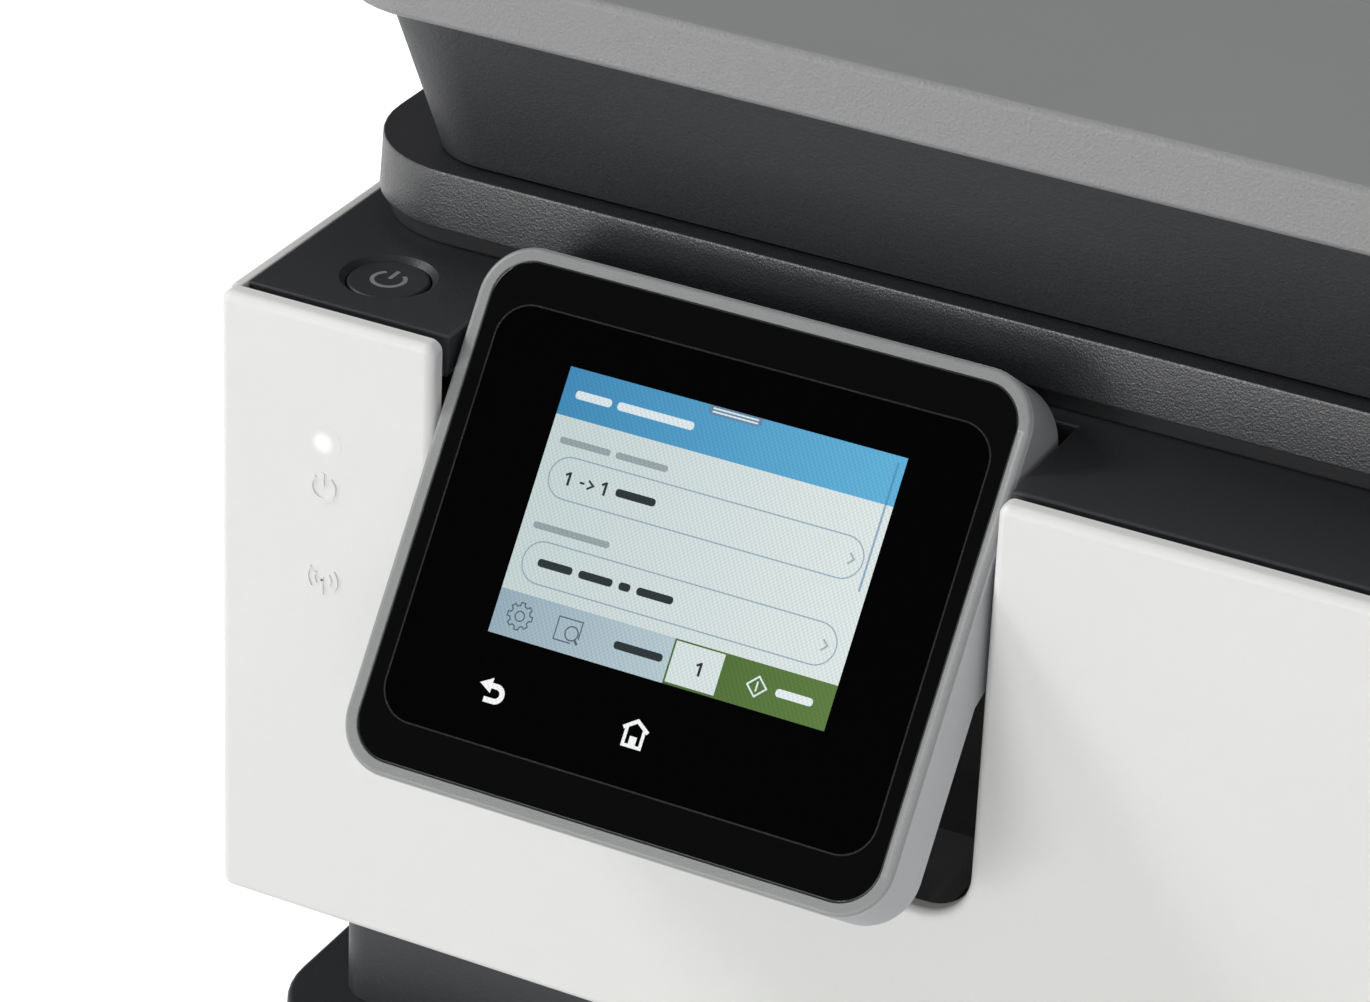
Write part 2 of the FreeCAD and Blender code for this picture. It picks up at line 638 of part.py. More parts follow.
def drafted(name, x, y, z, radius, angle):
    """A body padded upwards from a rounded rectangle, with drafted sides."""
    body = doc.addObject("PartDesign::Body", name)
    sketch = new_sketch(body, name + "_outline", "XY_Plane")
    half, bend = 4, 1
    for i in range(4):
        turn = FreeCAD.Rotation(Vector(0, 0, 1), 90 * i)
        start = turn.multVec(Vector(bend - half, -half, 0))
        end = turn.multVec(Vector(half - bend, -half, 0))
        sketch.addGeometry(Part.LineSegment(start, end))
        centre = turn.multVec(Vector(half - bend, bend - half, 0))
        first = math.radians(90 * i - 90)
        circle = Part.Circle(centre, Vector(0, 0, 1), bend)
        sketch.addGeometry(Part.ArcOfCircle(circle, first, first + math.pi / 2))
    for i in range(8):
        sketch.addConstraint(Sketcher.Constraint("Tangent", i, 2, (i + 1) % 8, 1))
    for i in (0, 4):
        sketch.addConstraint(Sketcher.Constraint("Horizontal", i))
        sketch.addConstraint(Sketcher.Constraint("Vertical", i + 2))
    for i in (3, 5, 7):
        sketch.addConstraint(Sketcher.Constraint("Equal", 1, i))
    constrain(sketch, Sketcher.Constraint("Radius", 1, bend), "corner", radius)
    constrain(sketch, Sketcher.Constraint("DistanceX", -1, 1, 6, 1, -half), "left", x[0])
    constrain(sketch, Sketcher.Constraint("DistanceX", -1, 1, 2, 1, half), "right", x[1])
    constrain(sketch, Sketcher.Constraint("DistanceY", -1, 1, 0, 1, -half), "front", y[0])
    constrain(sketch, Sketcher.Constraint("DistanceY", -1, 1, 4, 1, half), "back", y[1])
    bind(sketch, "AttachmentOffset.Base.z", z[0])
    pad = body.newObject("PartDesign::Pad", name + "_pad")
    pad.Profile = sketch
    bind(pad, "Length", f"({z[1]}) - ({z[0]})")
    bind(pad, "TaperAngle", angle)
    return body


def finish(label, item):
    """Names a finished sub-part."""
    item.Label = label
    parts.append(item)
    return item


def base_shell():
    outer = round_block("base_outer", both("base_half"), ("base_front", "base_rear"),
                        ("foot_h", "base_top"), "base_corner")
    outer = rounded("base_edges", outer, "edge_round", at_level("z", "base_top"))
    hollow = block("base_hollow", both("base_half - wall"),
                   ("base_front + wall", "base_rear - wall"), ("base_floor", "base_top - wall"))
    hollow = rounded("base_hollow_round", hollow, size("base_corner") - size("wall"), along("z"))
    mouth = block("base_mouth", both("mouth_half"), (f"base_front - {OVER}", f"base_front + wall + {OVER}"),
                  ("base_floor", "mouth_top"))
    bay = block("base_bay", both("bay_half"), (f"base_front - {OVER}", f"neck_front + wall + {OVER}"),
                ("bay_floor", f"base_top + {OVER}"))
    well = block("base_well", both("neck_half - wall"), ("neck_front + wall", "neck_rear - wall"),
                 (f"base_top - wall - {OVER}", f"base_top + {OVER}"))
    finish("base_shell", cut("base", outer, hollow, mouth, bay, well))


def rubber_feet():
    feet = []
    for side in (-1, 1):
        for row, y in (("front", "base_front + foot_margin"), ("rear", "base_rear - foot_margin")):
            x = f"{side} * (base_half - foot_margin)"
            feet.append(rod(f"foot_{row}", "z", (x, y), ("0", "foot_h"), "foot_r"))
    finish("rubber_feet", group("feet", feet))


def neck_frame():
    outer = round_block("neck_outer", both("neck_half"), ("neck_front", "neck_rear"),
                        ("base_top", "door_bottom"), "neck_corner")
    inner = block("neck_inner", both("neck_half - wall"), ("neck_front + wall", "neck_rear - wall"),
                  (f"base_top - {OVER}", f"door_bottom + {OVER}"))
    mouth = block("neck_mouth", both("bay_half"), (f"neck_front - {OVER}", f"neck_front + wall + {OVER}"),
                  (f"base_top - {OVER}", "door_bottom - wall"))
    finish("neck_frame", cut("neck", outer, inner, mouth))


def lower_deck():
    plate = block("lower_plate", both("deck_half"), ("neck_front", "rear_inner"),
                  ("door_bottom", "door_bottom + wall"))
    well = block("lower_well", both("neck_half - wall"), ("neck_front + wall", "neck_rear - wall"),
                 (f"door_bottom - {OVER}", f"door_bottom + wall + {OVER}"))
    slots = [
        block("arm_slot", on_side(side, "chassis_half - fit", "chassis_half + sheet_t + fit"),
              (f"neck_front - {OVER}", f"neck_front + wall + {OVER}"),
              ("hinge_z - hinge_arm - fit", f"door_bottom + wall + {OVER}"))
        for side in (-1, 1)
    ]
    finish("lower_deck", cut("lower", plate, well, *slots))


def side_panel(label, side):
    plate = block(label + "_plate", on_side(side, "half_w - side_t", "half_w"), ("door_back + fit", "rear"),
                  ("door_bottom", "door_top"))
    plate = rounded(label + "_edge", plate, "edge_round", lambda edge: along("y")(edge) and abs(
        edge.CenterOfMass.z - size("door_top")) < 1e-3 and abs(
            edge.CenterOfMass.x - side * size("half_w")) < 1e-3)
    relief = block(label + "_relief", on_side(side, f"half_w - side_t - {OVER}", f"half_w + {OVER}"),
                   ("front", "front + swing_depth"), (f"door_bottom - {OVER}", "door_bottom + swing_h"))
    finish(label, cut(label + "_panel", plate, relief))


def deck_front_edge(edge):
    """Picks the deck's upper edges along its front and round its notch."""
    middle = edge.CenterOfMass
    upper = abs(middle.z - size("door_top")) < 1e-3
    inside = abs(middle.x) < size("deck_half") - 1e-3
    return upper and inside and middle.y < size("front") + size("deck_notch") + 1e-3


def top_deck():
    plate = block("deck_plate", both("deck_half"), ("front + deck_setback", "rear_inner"),
                  ("deck_under", "door_top"))
    front_skirt = block("deck_front_skirt", both("deck_half"),
                        ("front + deck_setback", "front + deck_setback + skirt_t"),
                        ("deck_under - skirt_h", "deck_under"))
    notch_skirt = block("deck_notch_skirt", about("panel_x", "notch_half + skirt_t"),
                        ("front + deck_setback", "front + deck_notch + skirt_t"),
                        ("deck_under - skirt_h", "deck_under"))
    notch = block("deck_notch_cut", about("panel_x", "notch_half"), ("front", "front + deck_notch"),
                  (f"deck_under - skirt_h - {OVER}", f"door_top + {OVER}"))
    well = block("deck_well", both("tub_half + fit"), ("front + tub_front - fit", "front + tub_rear + fit"),
                 (f"deck_under - {OVER}", f"door_top + {OVER}"))
    hole = rod("button_hole", "z", ("button_x", "button_y"), (f"deck_under - {OVER}", f"door_top + {OVER}"),
               "button_r + button_gap")
    dish = doc.addObject("Part::Cone", "button_dish")
    bind(dish, "Placement.Base.x", "button_x")
    bind(dish, "Placement.Base.y", "button_y")
    bind(dish, "Placement.Base.z", "door_top - dish_depth")
    bind(dish, "Radius1", "button_r + button_gap")
    bind(dish, "Radius2", "dish_r")
    bind(dish, "Height", "dish_depth")
    deck = cut("deck_notched", join("deck_solid", plate, front_skirt, notch_skirt), notch)
    deck = rounded("deck_edges", deck, "deck_round", deck_front_edge)
    finish("top_deck", cut("deck", deck, well, hole, dish))


def power_button():
    stem = rod("button_stem", "z", ("button_x", "button_y"), ("deck_under - fit", "door_top - button_sink"),
               "button_r")
    stem = rounded("button_edge", stem, size("button_sink"),
                   lambda edge: edge.BoundBox.ZMin > size("deck_under") and edge.Closed)
    flange = rod("button_base", "z", ("button_x", "button_y"),
                 ("deck_under - fit - button_flange_t", "deck_under - fit"), "button_r + button_flange")
    finish("power_button", join("button", stem, flange))


def screw_places():
    """Centres (x, z) of the rear panel's screws."""
    for x in both("deck_half - screw_inset"):
        for z in ("door_bottom + screw_inset", "door_top - screw_inset"):
            yield x, z


def rear_panel():
    plate = block("rear_plate", both("deck_half"), ("rear_inner", "rear"), ("door_bottom", "door_top"))
    through = (f"rear_inner - {OVER}", f"rear + {OVER}")
    tools = [
        block("access_cut", both("access_half + fit"), through,
              ("access_bottom - fit", "access_bottom + access_h + fit")),
        rod("access_pin_holes", "x", ("access_axis_y", "access_axis_z"),
            both("access_half + access_pin_len + fit"), "access_pin_r + run_fit"),
        block("usb_cut", about("usb_x", "usb_w / 2 + fit"), through, about("socket_z", "usb_h / 2 + fit")),
        block("lan_cut", about("lan_x", "lan_w / 2 + fit"), through, about("socket_z", "lan_h / 2 + fit")),
        block("inlet_cut", about("-inlet_x", "inlet_half + inlet_r + inlet_wall + fit"), through,
              about("socket_z", "inlet_r + inlet_wall + fit")),
    ]
    for side in (-1, 1):
        for step in range(VENTS_PER_SIDE):
            x = f"{side} * (access_half + {step + 3} * vent_pitch)"
            tools.append(block("vent", about(x, "vent_w / 2"), through,
                               ("door_top - screw_inset - vent_pitch - vent_h",
                                "door_top - screw_inset - vent_pitch")))
    for x, z in screw_places():
        tools.append(rod("screw_hole", "y", (x, z), through, "screw_r + run_fit"))
        tools.append(rod("screw_sink", "y", (x, z), ("rear - screw_head_t - fit", f"rear + {OVER}"),
                         "screw_head_r + fit"))
    finish("rear_panel", cut("rear_cut", plate, *tools))


def case_screws():
    screws = []
    for x, z in screw_places():
        head = rod("screw_head", "y", (x, z), ("rear - screw_head_t - fit", "rear - fit"), "screw_head_r")
        shank = rod("screw_shank", "y", (x, z), ("rear - screw_head_t - fit - screw_len",
                                                 "rear - screw_head_t - fit"), "screw_r")
        slot = block("screw_slot", about(x, "screw_head_r * 0.6"),
                     ("rear - fit - screw_head_t / 2", f"rear + {OVER}"), about(z, "screw_r / 4"))
        screws.append(cut("screw", join("screw_body", head, shank), slot))
    finish("case_screws", group("screws", screws))


def rear_door():
    face = "rear - 2 * access_barrel + access_t"
    plate = block("access_plate", both("access_half"), ("rear - 2 * access_barrel", face),
                  ("access_axis_z", "access_bottom + access_h"))
    barrel = rod("access_roll", "x", ("access_axis_y", "access_axis_z"), both("access_half"), "access_barrel")
    pins = rod("access_pins", "x", ("access_axis_y", "access_axis_z"), both("access_half + access_pin_len"),
               "access_pin_r")
    scoop = block("access_scoop", both("pull_half"), (f"{face} - pull_depth", f"rear + {OVER}"),
                  ("access_bottom + access_h - pull_h", f"access_bottom + access_h + {OVER}"))
    finish("rear_door", cut("access", join("access_body", plate, barrel, pins), scoop))


def shaft_bores():
    """Every shaft that runs between the chassis plates: name, (y, z) and radius."""
    return (
        ("rod_bore", ("rod_y", "rod_z"), "rod_r"),
        ("feed_bore", ("feed_y", "feed_z"), "feed_shaft_r"),
        ("exit_bore", ("exit_y", "exit_z"), "exit_shaft_r"),
        ("pickup_bore", ("pickup_y", "pickup_z"), "pickup_shaft_r"),
    )


def chassis_plate(label, side):
    across = on_side(side, "chassis_half", "chassis_half + sheet_t")
    sheet = block(label + "_sheet", across, ("front + chassis_front", "front + chassis_rear"),
                  ("base_floor", "deck_under"))
    arm = block(label + "_arm", across, ("hinge_y", "front + chassis_front"), about("hinge_z", "hinge_arm"))
    eye = rod(label + "_eye", "x", ("hinge_y", "hinge_z"), across, "hinge_arm")
    stud = rod(label + "_stud", "x", ("hinge_y", "hinge_z"),
               on_side(side, "chassis_half - ear_t - fit", "chassis_half"), "hinge_pin_r")
    bores = [
        rod(name, "x", centre, on_side(side, f"chassis_half - {OVER}", f"chassis_half + sheet_t + {OVER}"),
            f"{radius} + run_fit")
        for name, centre, radius in shaft_bores()
    ]
    relief = block(label + "_relief",
                   on_side(side, f"chassis_half - {OVER}", f"chassis_half + sheet_t + {OVER}"),
                   (f"front + chassis_front - {OVER}", "button_y + dish_r + wall"),
                   ("deck_under - relief_h", f"deck_under + {OVER}"))
    finish(label, cut(label + "_cut", join(label + "_solid", sheet, arm, eye, stud), relief, *bores))


def carriage_beam():
    sheet = block("beam_sheet", both("chassis_half - fit"), ("beam_y", "beam_y + sheet_t"),
                  ("beam_bottom", "beam_bottom + beam_h"))
    flange = block("beam_flange_sheet", both("chassis_half - fit"), ("beam_y", "beam_y + beam_flange"),
                   ("beam_bottom + beam_h - sheet_t", "beam_bottom + beam_h"))
    holes = [
        rod("beam_hole", "y", (f"{side} * pulley_x", "belt_z"),
            (f"beam_y - {OVER}", f"beam_y + sheet_t + {OVER}"), "shaft_r + run_fit")
        for side in (-1, 1)
    ]
    finish("carriage_beam", cut("beam", join("beam_solid", sheet, flange), *holes))


def guide_rod():
    finish("guide_rod", rod("guide", "x", ("rod_y", "rod_z"), both("chassis_half + sheet_t"), "rod_r"))


def belt_loop(name, radius, y):
    """The filled outline of the carriage belt, round both pulleys."""
    ends = [rod(name + "_end", "y", (x, "belt_z"), y, radius) for x in both("pulley_x")]
    middle = block(name + "_middle", both("pulley_x"), y, about("belt_z", radius))
    return join(name, middle, *ends)


def carriage_belt():
    outer = belt_loop("belt_outer", "belt_out_r", ("belt_y", "belt_y + belt_w"))
    inner = belt_loop("belt_inner", "belt_in_r", (f"belt_y - {OVER}", f"belt_y + belt_w + {OVER}"))
    finish("carriage_belt", cut("belt", outer, inner))


def belt_pulley(label, side, shaft_end):
    place = (f"{side} * pulley_x", "belt_z")
    wheel = rod(label + "_wheel", "y", place, ("belt_y", "belt_y + belt_w"), "pulley_r")
    shaft = rod(label + "_shaft", "y", place, ("belt_y", shaft_end), "shaft_r")
    finish(label, join(label + "_body", wheel, shaft))


def carriage_motor():
    place = ("-pulley_x", "belt_z")
    can = rod("motor_can", "y", place, ("beam_y + sheet_t", "beam_y + sheet_t + motor_len"), "motor_r")
    bore = rod("motor_bore", "y", place,
               (f"beam_y + sheet_t - {OVER}", "beam_y + sheet_t + motor_len - wall"),
               "shaft_r + run_fit")
    finish("carriage_motor", cut("motor", can, bore))


def carriage():
    x = about("carriage_x", "carriage_half")
    shell = block("carriage_shell", x, ("front + carriage_front", "front + carriage_rear"),
                  ("carriage_bottom", "carriage_top"))
    clip = block("carriage_clip", about("carriage_x", "clip_half"),
                 ("front + carriage_rear", "belt_y + belt_w + fit"),
                 ("belt_z - belt_out_r - clip_h", "belt_z - belt_in_r + clip_h"))
    pocket = block("carriage_pocket", about("carriage_x", "pocket_half"),
                   (f"front + carriage_front - {OVER}", "front + pocket_rear"),
                   ("pocket_floor", f"carriage_top + {OVER}"))
    bore = rod("carriage_bore", "x", ("rod_y", "rod_z"),
               about("carriage_x", f"carriage_half + {OVER}"), "rod_r + run_fit")
    slot = block("clip_slot", about("carriage_x", f"clip_half + {OVER}"),
                 ("belt_y - fit", f"belt_y + belt_w + fit + {OVER}"),
                 ("belt_z - belt_out_r - fit", "belt_z - belt_in_r + fit"))
    finish("carriage", cut("carriage_cut", join("carriage_solid", shell, clip), pocket, bore, slot))


def print_head():
    head = block("head_block", about("carriage_x", "head_half"), ("front + head_front", "front + head_rear"),
                 ("platen_top + head_gap", "carriage_bottom"))
    finish("print_head", head)


def ink_cartridge(colour, index):
    centre = f"carriage_x + {index - 1.5} * cartridge_pitch"
    shell = block(f"{colour}_shell", about(centre, "cartridge_w / 2"),
                  ("front + cartridge_front + tab_depth", "front + pocket_rear - fit"),
                  ("pocket_floor + fit", "pocket_floor + fit + cartridge_h"))
    tab = block(f"{colour}_tab", about(centre, "cartridge_w / 4"),
                ("front + cartridge_front", "front + cartridge_front + tab_depth"),
                ("pocket_floor + fit + cartridge_h - tab_h", "pocket_floor + fit + cartridge_h"))
    finish(f"{colour}_cartridge", join(f"{colour}_ink", shell, tab))


def platen():
    plate = block("platen_plate", ("-(chassis_half - fit)", "platen_end"),
                  ("front + platen_front", "front + platen_rear"), ("platen_top - platen_t", "platen_top"))
    groove = block("platen_groove", both("feed_half"),
                   about("front + (platen_front + platen_rear) / 2", "groove_half"),
                   ("platen_top - groove_depth", f"platen_top + {OVER}"))
    finish("platen", cut("platen_cut", plate, groove))


def service_station():
    y = ("front + platen_front", "front + platen_rear")
    tub = block("station_tub", ("platen_end + fit", "chassis_half - fit"), y,
                ("platen_top - station_h", "platen_top - head_gap"))
    caps = [
        block("station_cap", about(x, "cap_half"), ("front + head_front", "front + head_rear"),
              ("platen_top - head_gap", "platen_top"))
        for x in ("platen_end + cap_gap - cap_half", "chassis_half - cap_gap + cap_half")
    ]
    finish("service_station", join("station", tub, *caps))


def gear(name, teeth, x, centre, turn):
    """A spur gear along X whose slim straight-sided teeth leave backlash."""
    module = size("tooth_module")
    pitch_r = module * teeth / 2
    step = 2 * math.pi / teeth
    flanks = ((pitch_r - 1.25 * module, 0.30), (pitch_r, 0.20), (pitch_r + 0.8 * module, 0.09))
    points = []
    for i in range(teeth):
        middle = i * step + math.radians(turn)
        edges = [(r, middle - share * step) for r, share in flanks]
        edges += [(r, middle + share * step) for r, share in reversed(flanks)]
        points += [Vector(0, r * math.cos(a), r * math.sin(a)) for r, a in edges]
    face = Part.Face(Part.makePolygon(points + points[:1]))
    item = doc.addObject("Part::Feature", name)
    item.Shape = face.extrude(Vector(size("gear_w"), 0, 0))
    bind(item, "Placement.Base.x", x)
    bind(item, "Placement.Base.y", centre[0])
    bind(item, "Placement.Base.z", centre[1])
    return item


GEAR_X = "-(chassis_half - gear_gap)"
PINION_PLACE = (f"feed_y + tooth_module * {(FEED_TEETH + PINION_TEETH) / 2}", "feed_z")


def feed_roller():
    place = ("feed_y", "feed_z")
    shaft = rod("feed_shaft", "x", place, ("band_left", "chassis_half + sheet_t"), "feed_shaft_r")
    coat = rod("feed_coat", "x", place, both("feed_half"), "feed_r")
    wheel = rod("feed_band_wheel", "x", place, ("band_left", "band_left + band_w"), "band_r")
    ring = gear("feed_gear", FEED_TEETH, GEAR_X, place, 180 / FEED_TEETH)
    finish("feed_roller", join("feed", shaft, coat, wheel, ring))


def motor_pinion():
    teeth = gear("pinion_gear", PINION_TEETH, GEAR_X, PINION_PLACE, 0)
    shaft = rod("pinion_shaft", "x", PINION_PLACE,
                (GEAR_X, f"{GEAR_X} + gear_w + wall + paper_motor_len / 2"),
                "shaft_r")
    finish("motor_pinion", join("pinion", teeth, shaft))


def paper_motor():
    y, z = PINION_PLACE
    start = f"{GEAR_X} + gear_w + gear_gap"
    can = rod("paper_motor_can", "x", PINION_PLACE, (start, f"{start} + paper_motor_len"), "paper_motor_r")
    posts = [
        rod("paper_motor_post", "x", (y, f"{z} + {side} * post_spread"), ("-chassis_half", start), "post_r")
        for side in (-1, 1)
    ]
    bore = rod("paper_motor_bore", "x", PINION_PLACE,
               (f"{start} - {OVER}", f"{start} + paper_motor_len - wall"),
               "shaft_r + run_fit")
    finish("paper_motor", cut("paper_motor_cut", join("paper_motor_solid", can, *posts), bore))


def exit_roller():
    place = ("exit_y", "exit_z")
    shaft = rod("exit_shaft", "x", place, ("band_left", "chassis_half + sheet_t"), "exit_shaft_r")
    wheel = rod("exit_band_wheel", "x", place, ("band_left", "band_left + band_w"), "band_exit_r")
    tyres = [
        rod("exit_tyre", "x", place,
            about(f"{i - (EXIT_WHEELS - 1) / 2} * exit_pitch", "exit_w / 2"), "exit_r")
        for i in range(EXIT_WHEELS)
    ]
    finish("exit_roller", join("exit", shaft, wheel, *tyres))


def band_outline(grow):
    """The filled outline (y, z) of the roller belt, grown past its two wheels."""
    centres = [Vector(0, size(f"{end}_y"), size(f"{end}_z")) for end in ("exit", "feed")]
    radii = [size("band_exit_r") + grow, size("band_r") + grow]
    span = centres[1] - centres[0]
    heading = math.atan2(span.z, span.y)
    lean = math.acos((radii[0] - radii[1]) / span.Length)

    def point(end, angle):
        return centres[end] + Vector(0, math.cos(angle), math.sin(angle)) * radii[end]
    up, down = heading + lean, heading - lean
    exit_arc = Part.Arc(point(0, up), point(0, heading + math.pi), point(0, down)).toShape()
    feed_arc = Part.Arc(point(1, down), point(1, heading), point(1, up)).toShape()
    runs = [Part.makeLine(point(0, down), point(1, down)), Part.makeLine(point(1, up), point(0, up))]
    return Part.Face(Part.Wire([exit_arc, runs[0], feed_arc, runs[1]]))


def roller_belt():
    fit = size("fit")
    loop = band_outline(fit + size("belt_t")).cut(band_outline(fit))
    item = doc.addObject("Part::Feature", "roller_band")
    item.Shape = loop.extrude(Vector(size("band_w"), 0, 0))
    bind(item, "Placement.Base.x", "band_left")
    finish("roller_belt", item)


def pickup_roller():
    place = ("pickup_y", "pickup_z")
    shaft = rod("pickup_shaft", "x", place, both("chassis_half + sheet_t"), "pickup_shaft_r")
    tyres = [rod("pickup_tyre", "x", place, about(x, "pickup_w / 2"), "pickup_r") for x in both("pickup_x")]
    finish("pickup_roller", join("pickup", shaft, *tyres))


def paper_tray():
    face = block("tray_face", both("mouth_half - fit"), ("base_front", "tray_face_back"),
                 ("tray_bottom", "mouth_top - fit"))
    box = block("tray_box", both("tray_half"), ("tray_face_back", "tray_rear"),
                ("tray_bottom", "tray_bottom + tray_h"))
    room = block("tray_room", both("tray_half - tray_wall"), ("tray_face_back", "tray_rear - tray_wall"),
                 ("tray_deck", f"tray_bottom + tray_h + {OVER}"))
    grip = block("tray_grip", both("grip_half"), (f"base_front - {OVER}", "base_front + grip_depth"),
                 (f"tray_bottom - {OVER}", "tray_bottom + grip_h"))
    finish("paper_tray", cut("tray", join("tray_solid", face, box), room, grip))


def width_guide(label, side):
    y = about("pickup_y - guide_len", "guide_len / 2")
    upright = block(label + "_upright", on_side(side, "paper_half", "paper_half + guide_t"), y,
                    ("tray_deck + fit", "tray_deck + fit + guide_h"))
    foot = block(label + "_foot", on_side(side, "paper_half + guide_t", "paper_half + guide_foot"), y,
                 ("tray_deck + fit", "tray_deck + fit + guide_t"))
    finish(label, join(label + "_body", upright, foot))


def length_guide():
    face = "tray_face_back + length_guide_gap"
    x = both("length_guide_half")
    upright = block("length_upright", x, (f"{face} - guide_t", face),
                    ("tray_deck + fit", "tray_deck + fit + guide_h"))
    foot = block("length_foot", x, (face, f"{face} + guide_foot"),
                 ("tray_deck + fit", "tray_deck + fit + guide_t"))
    finish("length_guide", join("length_body", upright, foot))


def output_tray():
    floor_z = ("bay_floor", "bay_surface")
    front_floor = block("bay_front_floor", both("bay_half - fit"), ("base_front", "neck_front + wall"),
                        floor_z)
    rear_floor = block("bay_rear_floor", both("chassis_half - fit"),
                       ("neck_front + wall", "base_front + slider_len + wall"), floor_z)
    back = block("bay_wall", both("bay_half - fit"), ("bay_back", "bay_back + tray_wall"),
                 ("bay_surface", "exit_z - exit_r"))
    sides = [
        block("bay_side", on_side(side, "bay_half - fit - tray_wall", "bay_half - fit"),
              ("base_front", "bay_back"), ("bay_surface", "base_top"))
        for side in (-1, 1)
    ]
    slot = block("bay_slot", both("slider_half + fit"),
                 (f"base_front - {OVER}", "base_front + slider_len + fit"),
                 ("slot_floor", "bay_surface"))
    finish("output_tray", cut("bay_cut", join("bay_solid", front_floor, rear_floor, back, *sides), slot))


def output_extension():
    plate = block("slider_plate", both("slider_half"), ("base_front", "base_front + slider_len"),
                  ("slot_floor + fit / 2", "slot_floor + fit / 2 + slider_t"))
    hole = block("slider_hole", both("pull_half"), ("base_front + pull_h", "base_front + 3 * pull_h"),
                 (f"slot_floor - {OVER}", f"bay_surface + {OVER}"))
    plate = rounded("slider_round", plate, "pull_h", near(along("z"), "y", "base_front"))
    finish("output_extension", cut("slider", plate, hole))


def main_board():
    x = ("board_x", "chassis_half - fit")
    z = ("door_bottom + wall + fit", "door_bottom + wall + fit + board_h")
    board = block("board_sheet", x, ("board_y", "board_y + board_t"), z)
    chips = [
        block("board_chip", about(f"board_x + {across} * board_h", "usb_w"), ("board_y - board_t", "board_y"),
              about(f"socket_z + {up} * board_h", "usb_w / 2"))
        for across, up in ((0.3, 0.25), (0.3, 0.55), (0.72, 0.4))
    ]
    finish("main_board", join("board", board, *chips))


def socket(name, x, width, height):
    y = ("board_y + board_t", "rear")
    shell = block(name + "_shell", about(x, f"{width} / 2"), y, about("socket_z", f"{height} / 2"))
    room = block(name + "_room", about(x, f"{width} / 2 - socket_wall"),
                 ("rear - socket_depth", f"rear + {OVER}"),
                 about("socket_z", f"{height} / 2 - socket_wall"))
    return cut(name, shell, room)


def data_sockets():
    finish("data_sockets", group("sockets", [socket("usb_socket", "usb_x", "usb_w", "usb_h"),
                                             socket("lan_socket", "lan_x", "lan_w", "lan_h")]))


def inlet_outline(name, grow, y):
    """A flat-sided oval round the mains inlet."""
    ends = [
        rod(name + "_end", "y", (f"-inlet_x + {side} * inlet_half", "socket_z"), y, f"inlet_r + {grow}")
        for side in (-1, 1)
    ]
    middle = block(name + "_middle", about("-inlet_x", "inlet_half"), y,
                   about("socket_z", f"inlet_r + {grow}"))
    return join(name, middle, *ends)


def power_supply():
    case_rear = "front + chassis_rear"
    case = block("supply_case", ("-(chassis_half - fit)", "supply_w - chassis_half"),
                 (f"{case_rear} - supply_len", case_rear),
                 ("door_bottom + wall + fit", "door_bottom + wall + fit + supply_h"))
    snout = block("supply_snout", about("-inlet_x", "inlet_half + inlet_r + inlet_wall"), (case_rear, "rear"),
                  about("socket_z", "inlet_r + inlet_wall"))
    room = inlet_outline("inlet_room", "0", ("rear - inlet_depth", f"rear + {OVER}"))
    pins = [
        rod("inlet_pin", "y", (f"-inlet_x + {side} * inlet_half", "socket_z"),
            ("rear - inlet_depth - wall", "rear - inlet_depth + inlet_pin_len"), "inlet_pin_r")
        for side in (-1, 1)
    ]
    hollow = cut("supply_hollow", join("supply_solid", case, snout), room)
    finish("power_supply", join("supply", hollow, *pins))


def scanner_base():
    rim = drafted("scanner_rim", both("rim_half"), ("rim_front", "top_rear"), ("rim_bottom", "rim_top"),
                  "rim_corner", "-rim_draft")
    foot = block("scanner_foot_box", both("rim_half - foot_inset"),
                 ("rim_front + foot_inset", "top_rear - foot_inset"), ("door_top", "rim_bottom"))
    foot = rounded("scanner_foot", foot, size("rim_corner") - size("foot_inset"), along("z"))
    tub = block("scanner_tub", both("tub_half"), ("front + tub_front", "front + tub_rear"),
                ("door_top - tub_depth", "rim_bottom"))
    room = block("scanner_room", both("tub_half - tub_wall"),
                 ("front + tub_front + tub_wall", "front + tub_rear - tub_wall"),
                 ("tub_floor", "tub_ceiling"))
    window = block("scanner_window", both("pane_half - pane_ledge"),
                   ("front + pane_front + pane_ledge", "front + pane_rear - pane_ledge"),
                   ("tub_floor", f"rim_top + {OVER}"))
    seat = block("scanner_seat", both("pane_half + fit"),
                 ("front + pane_front - fit", "front + pane_rear + fit"),
                 ("pane_bottom", f"rim_top + {OVER}"))
    rail = block("scanner_rail", both("tub_half - tub_wall"),
                 about("front + (tub_front + tub_rear) / 2", "rail_half"),
                 ("tub_floor", "tub_floor + rail_h"))
    band = block("scanner_band", both("rim_half - foot_inset - wall"),
                 ("rim_front + foot_inset + wall", "top_rear - foot_inset - wall"),
                 (f"door_top - {OVER}", "tub_ceiling"))
    band = cut("scanner_band_room", rounded("scanner_band_round", band, "rim_corner", along("z")), tub)
    shell = cut("scanner_shell", join("scanner_solid", rim, foot, tub), band, room, window, seat)
    finish("scanner_base", join("scanner", shell, rail))


def scanner_glass():
    pane = block("pane", both("pane_half"), ("front + pane_front", "front + pane_rear"),
                 ("pane_bottom", "rim_top"))
    finish("scanner_glass", pane)


def scan_bar():
    left = "-(tub_half - tub_wall) + bar_from_side"
    bar = block("bar", (left, f"{left} + bar_w"),
                ("front + tub_front + tub_wall + fit", "front + tub_rear - tub_wall - fit"),
                ("tub_floor + rail_h + fit", "tub_ceiling - fit"))
    finish("scan_bar", bar)


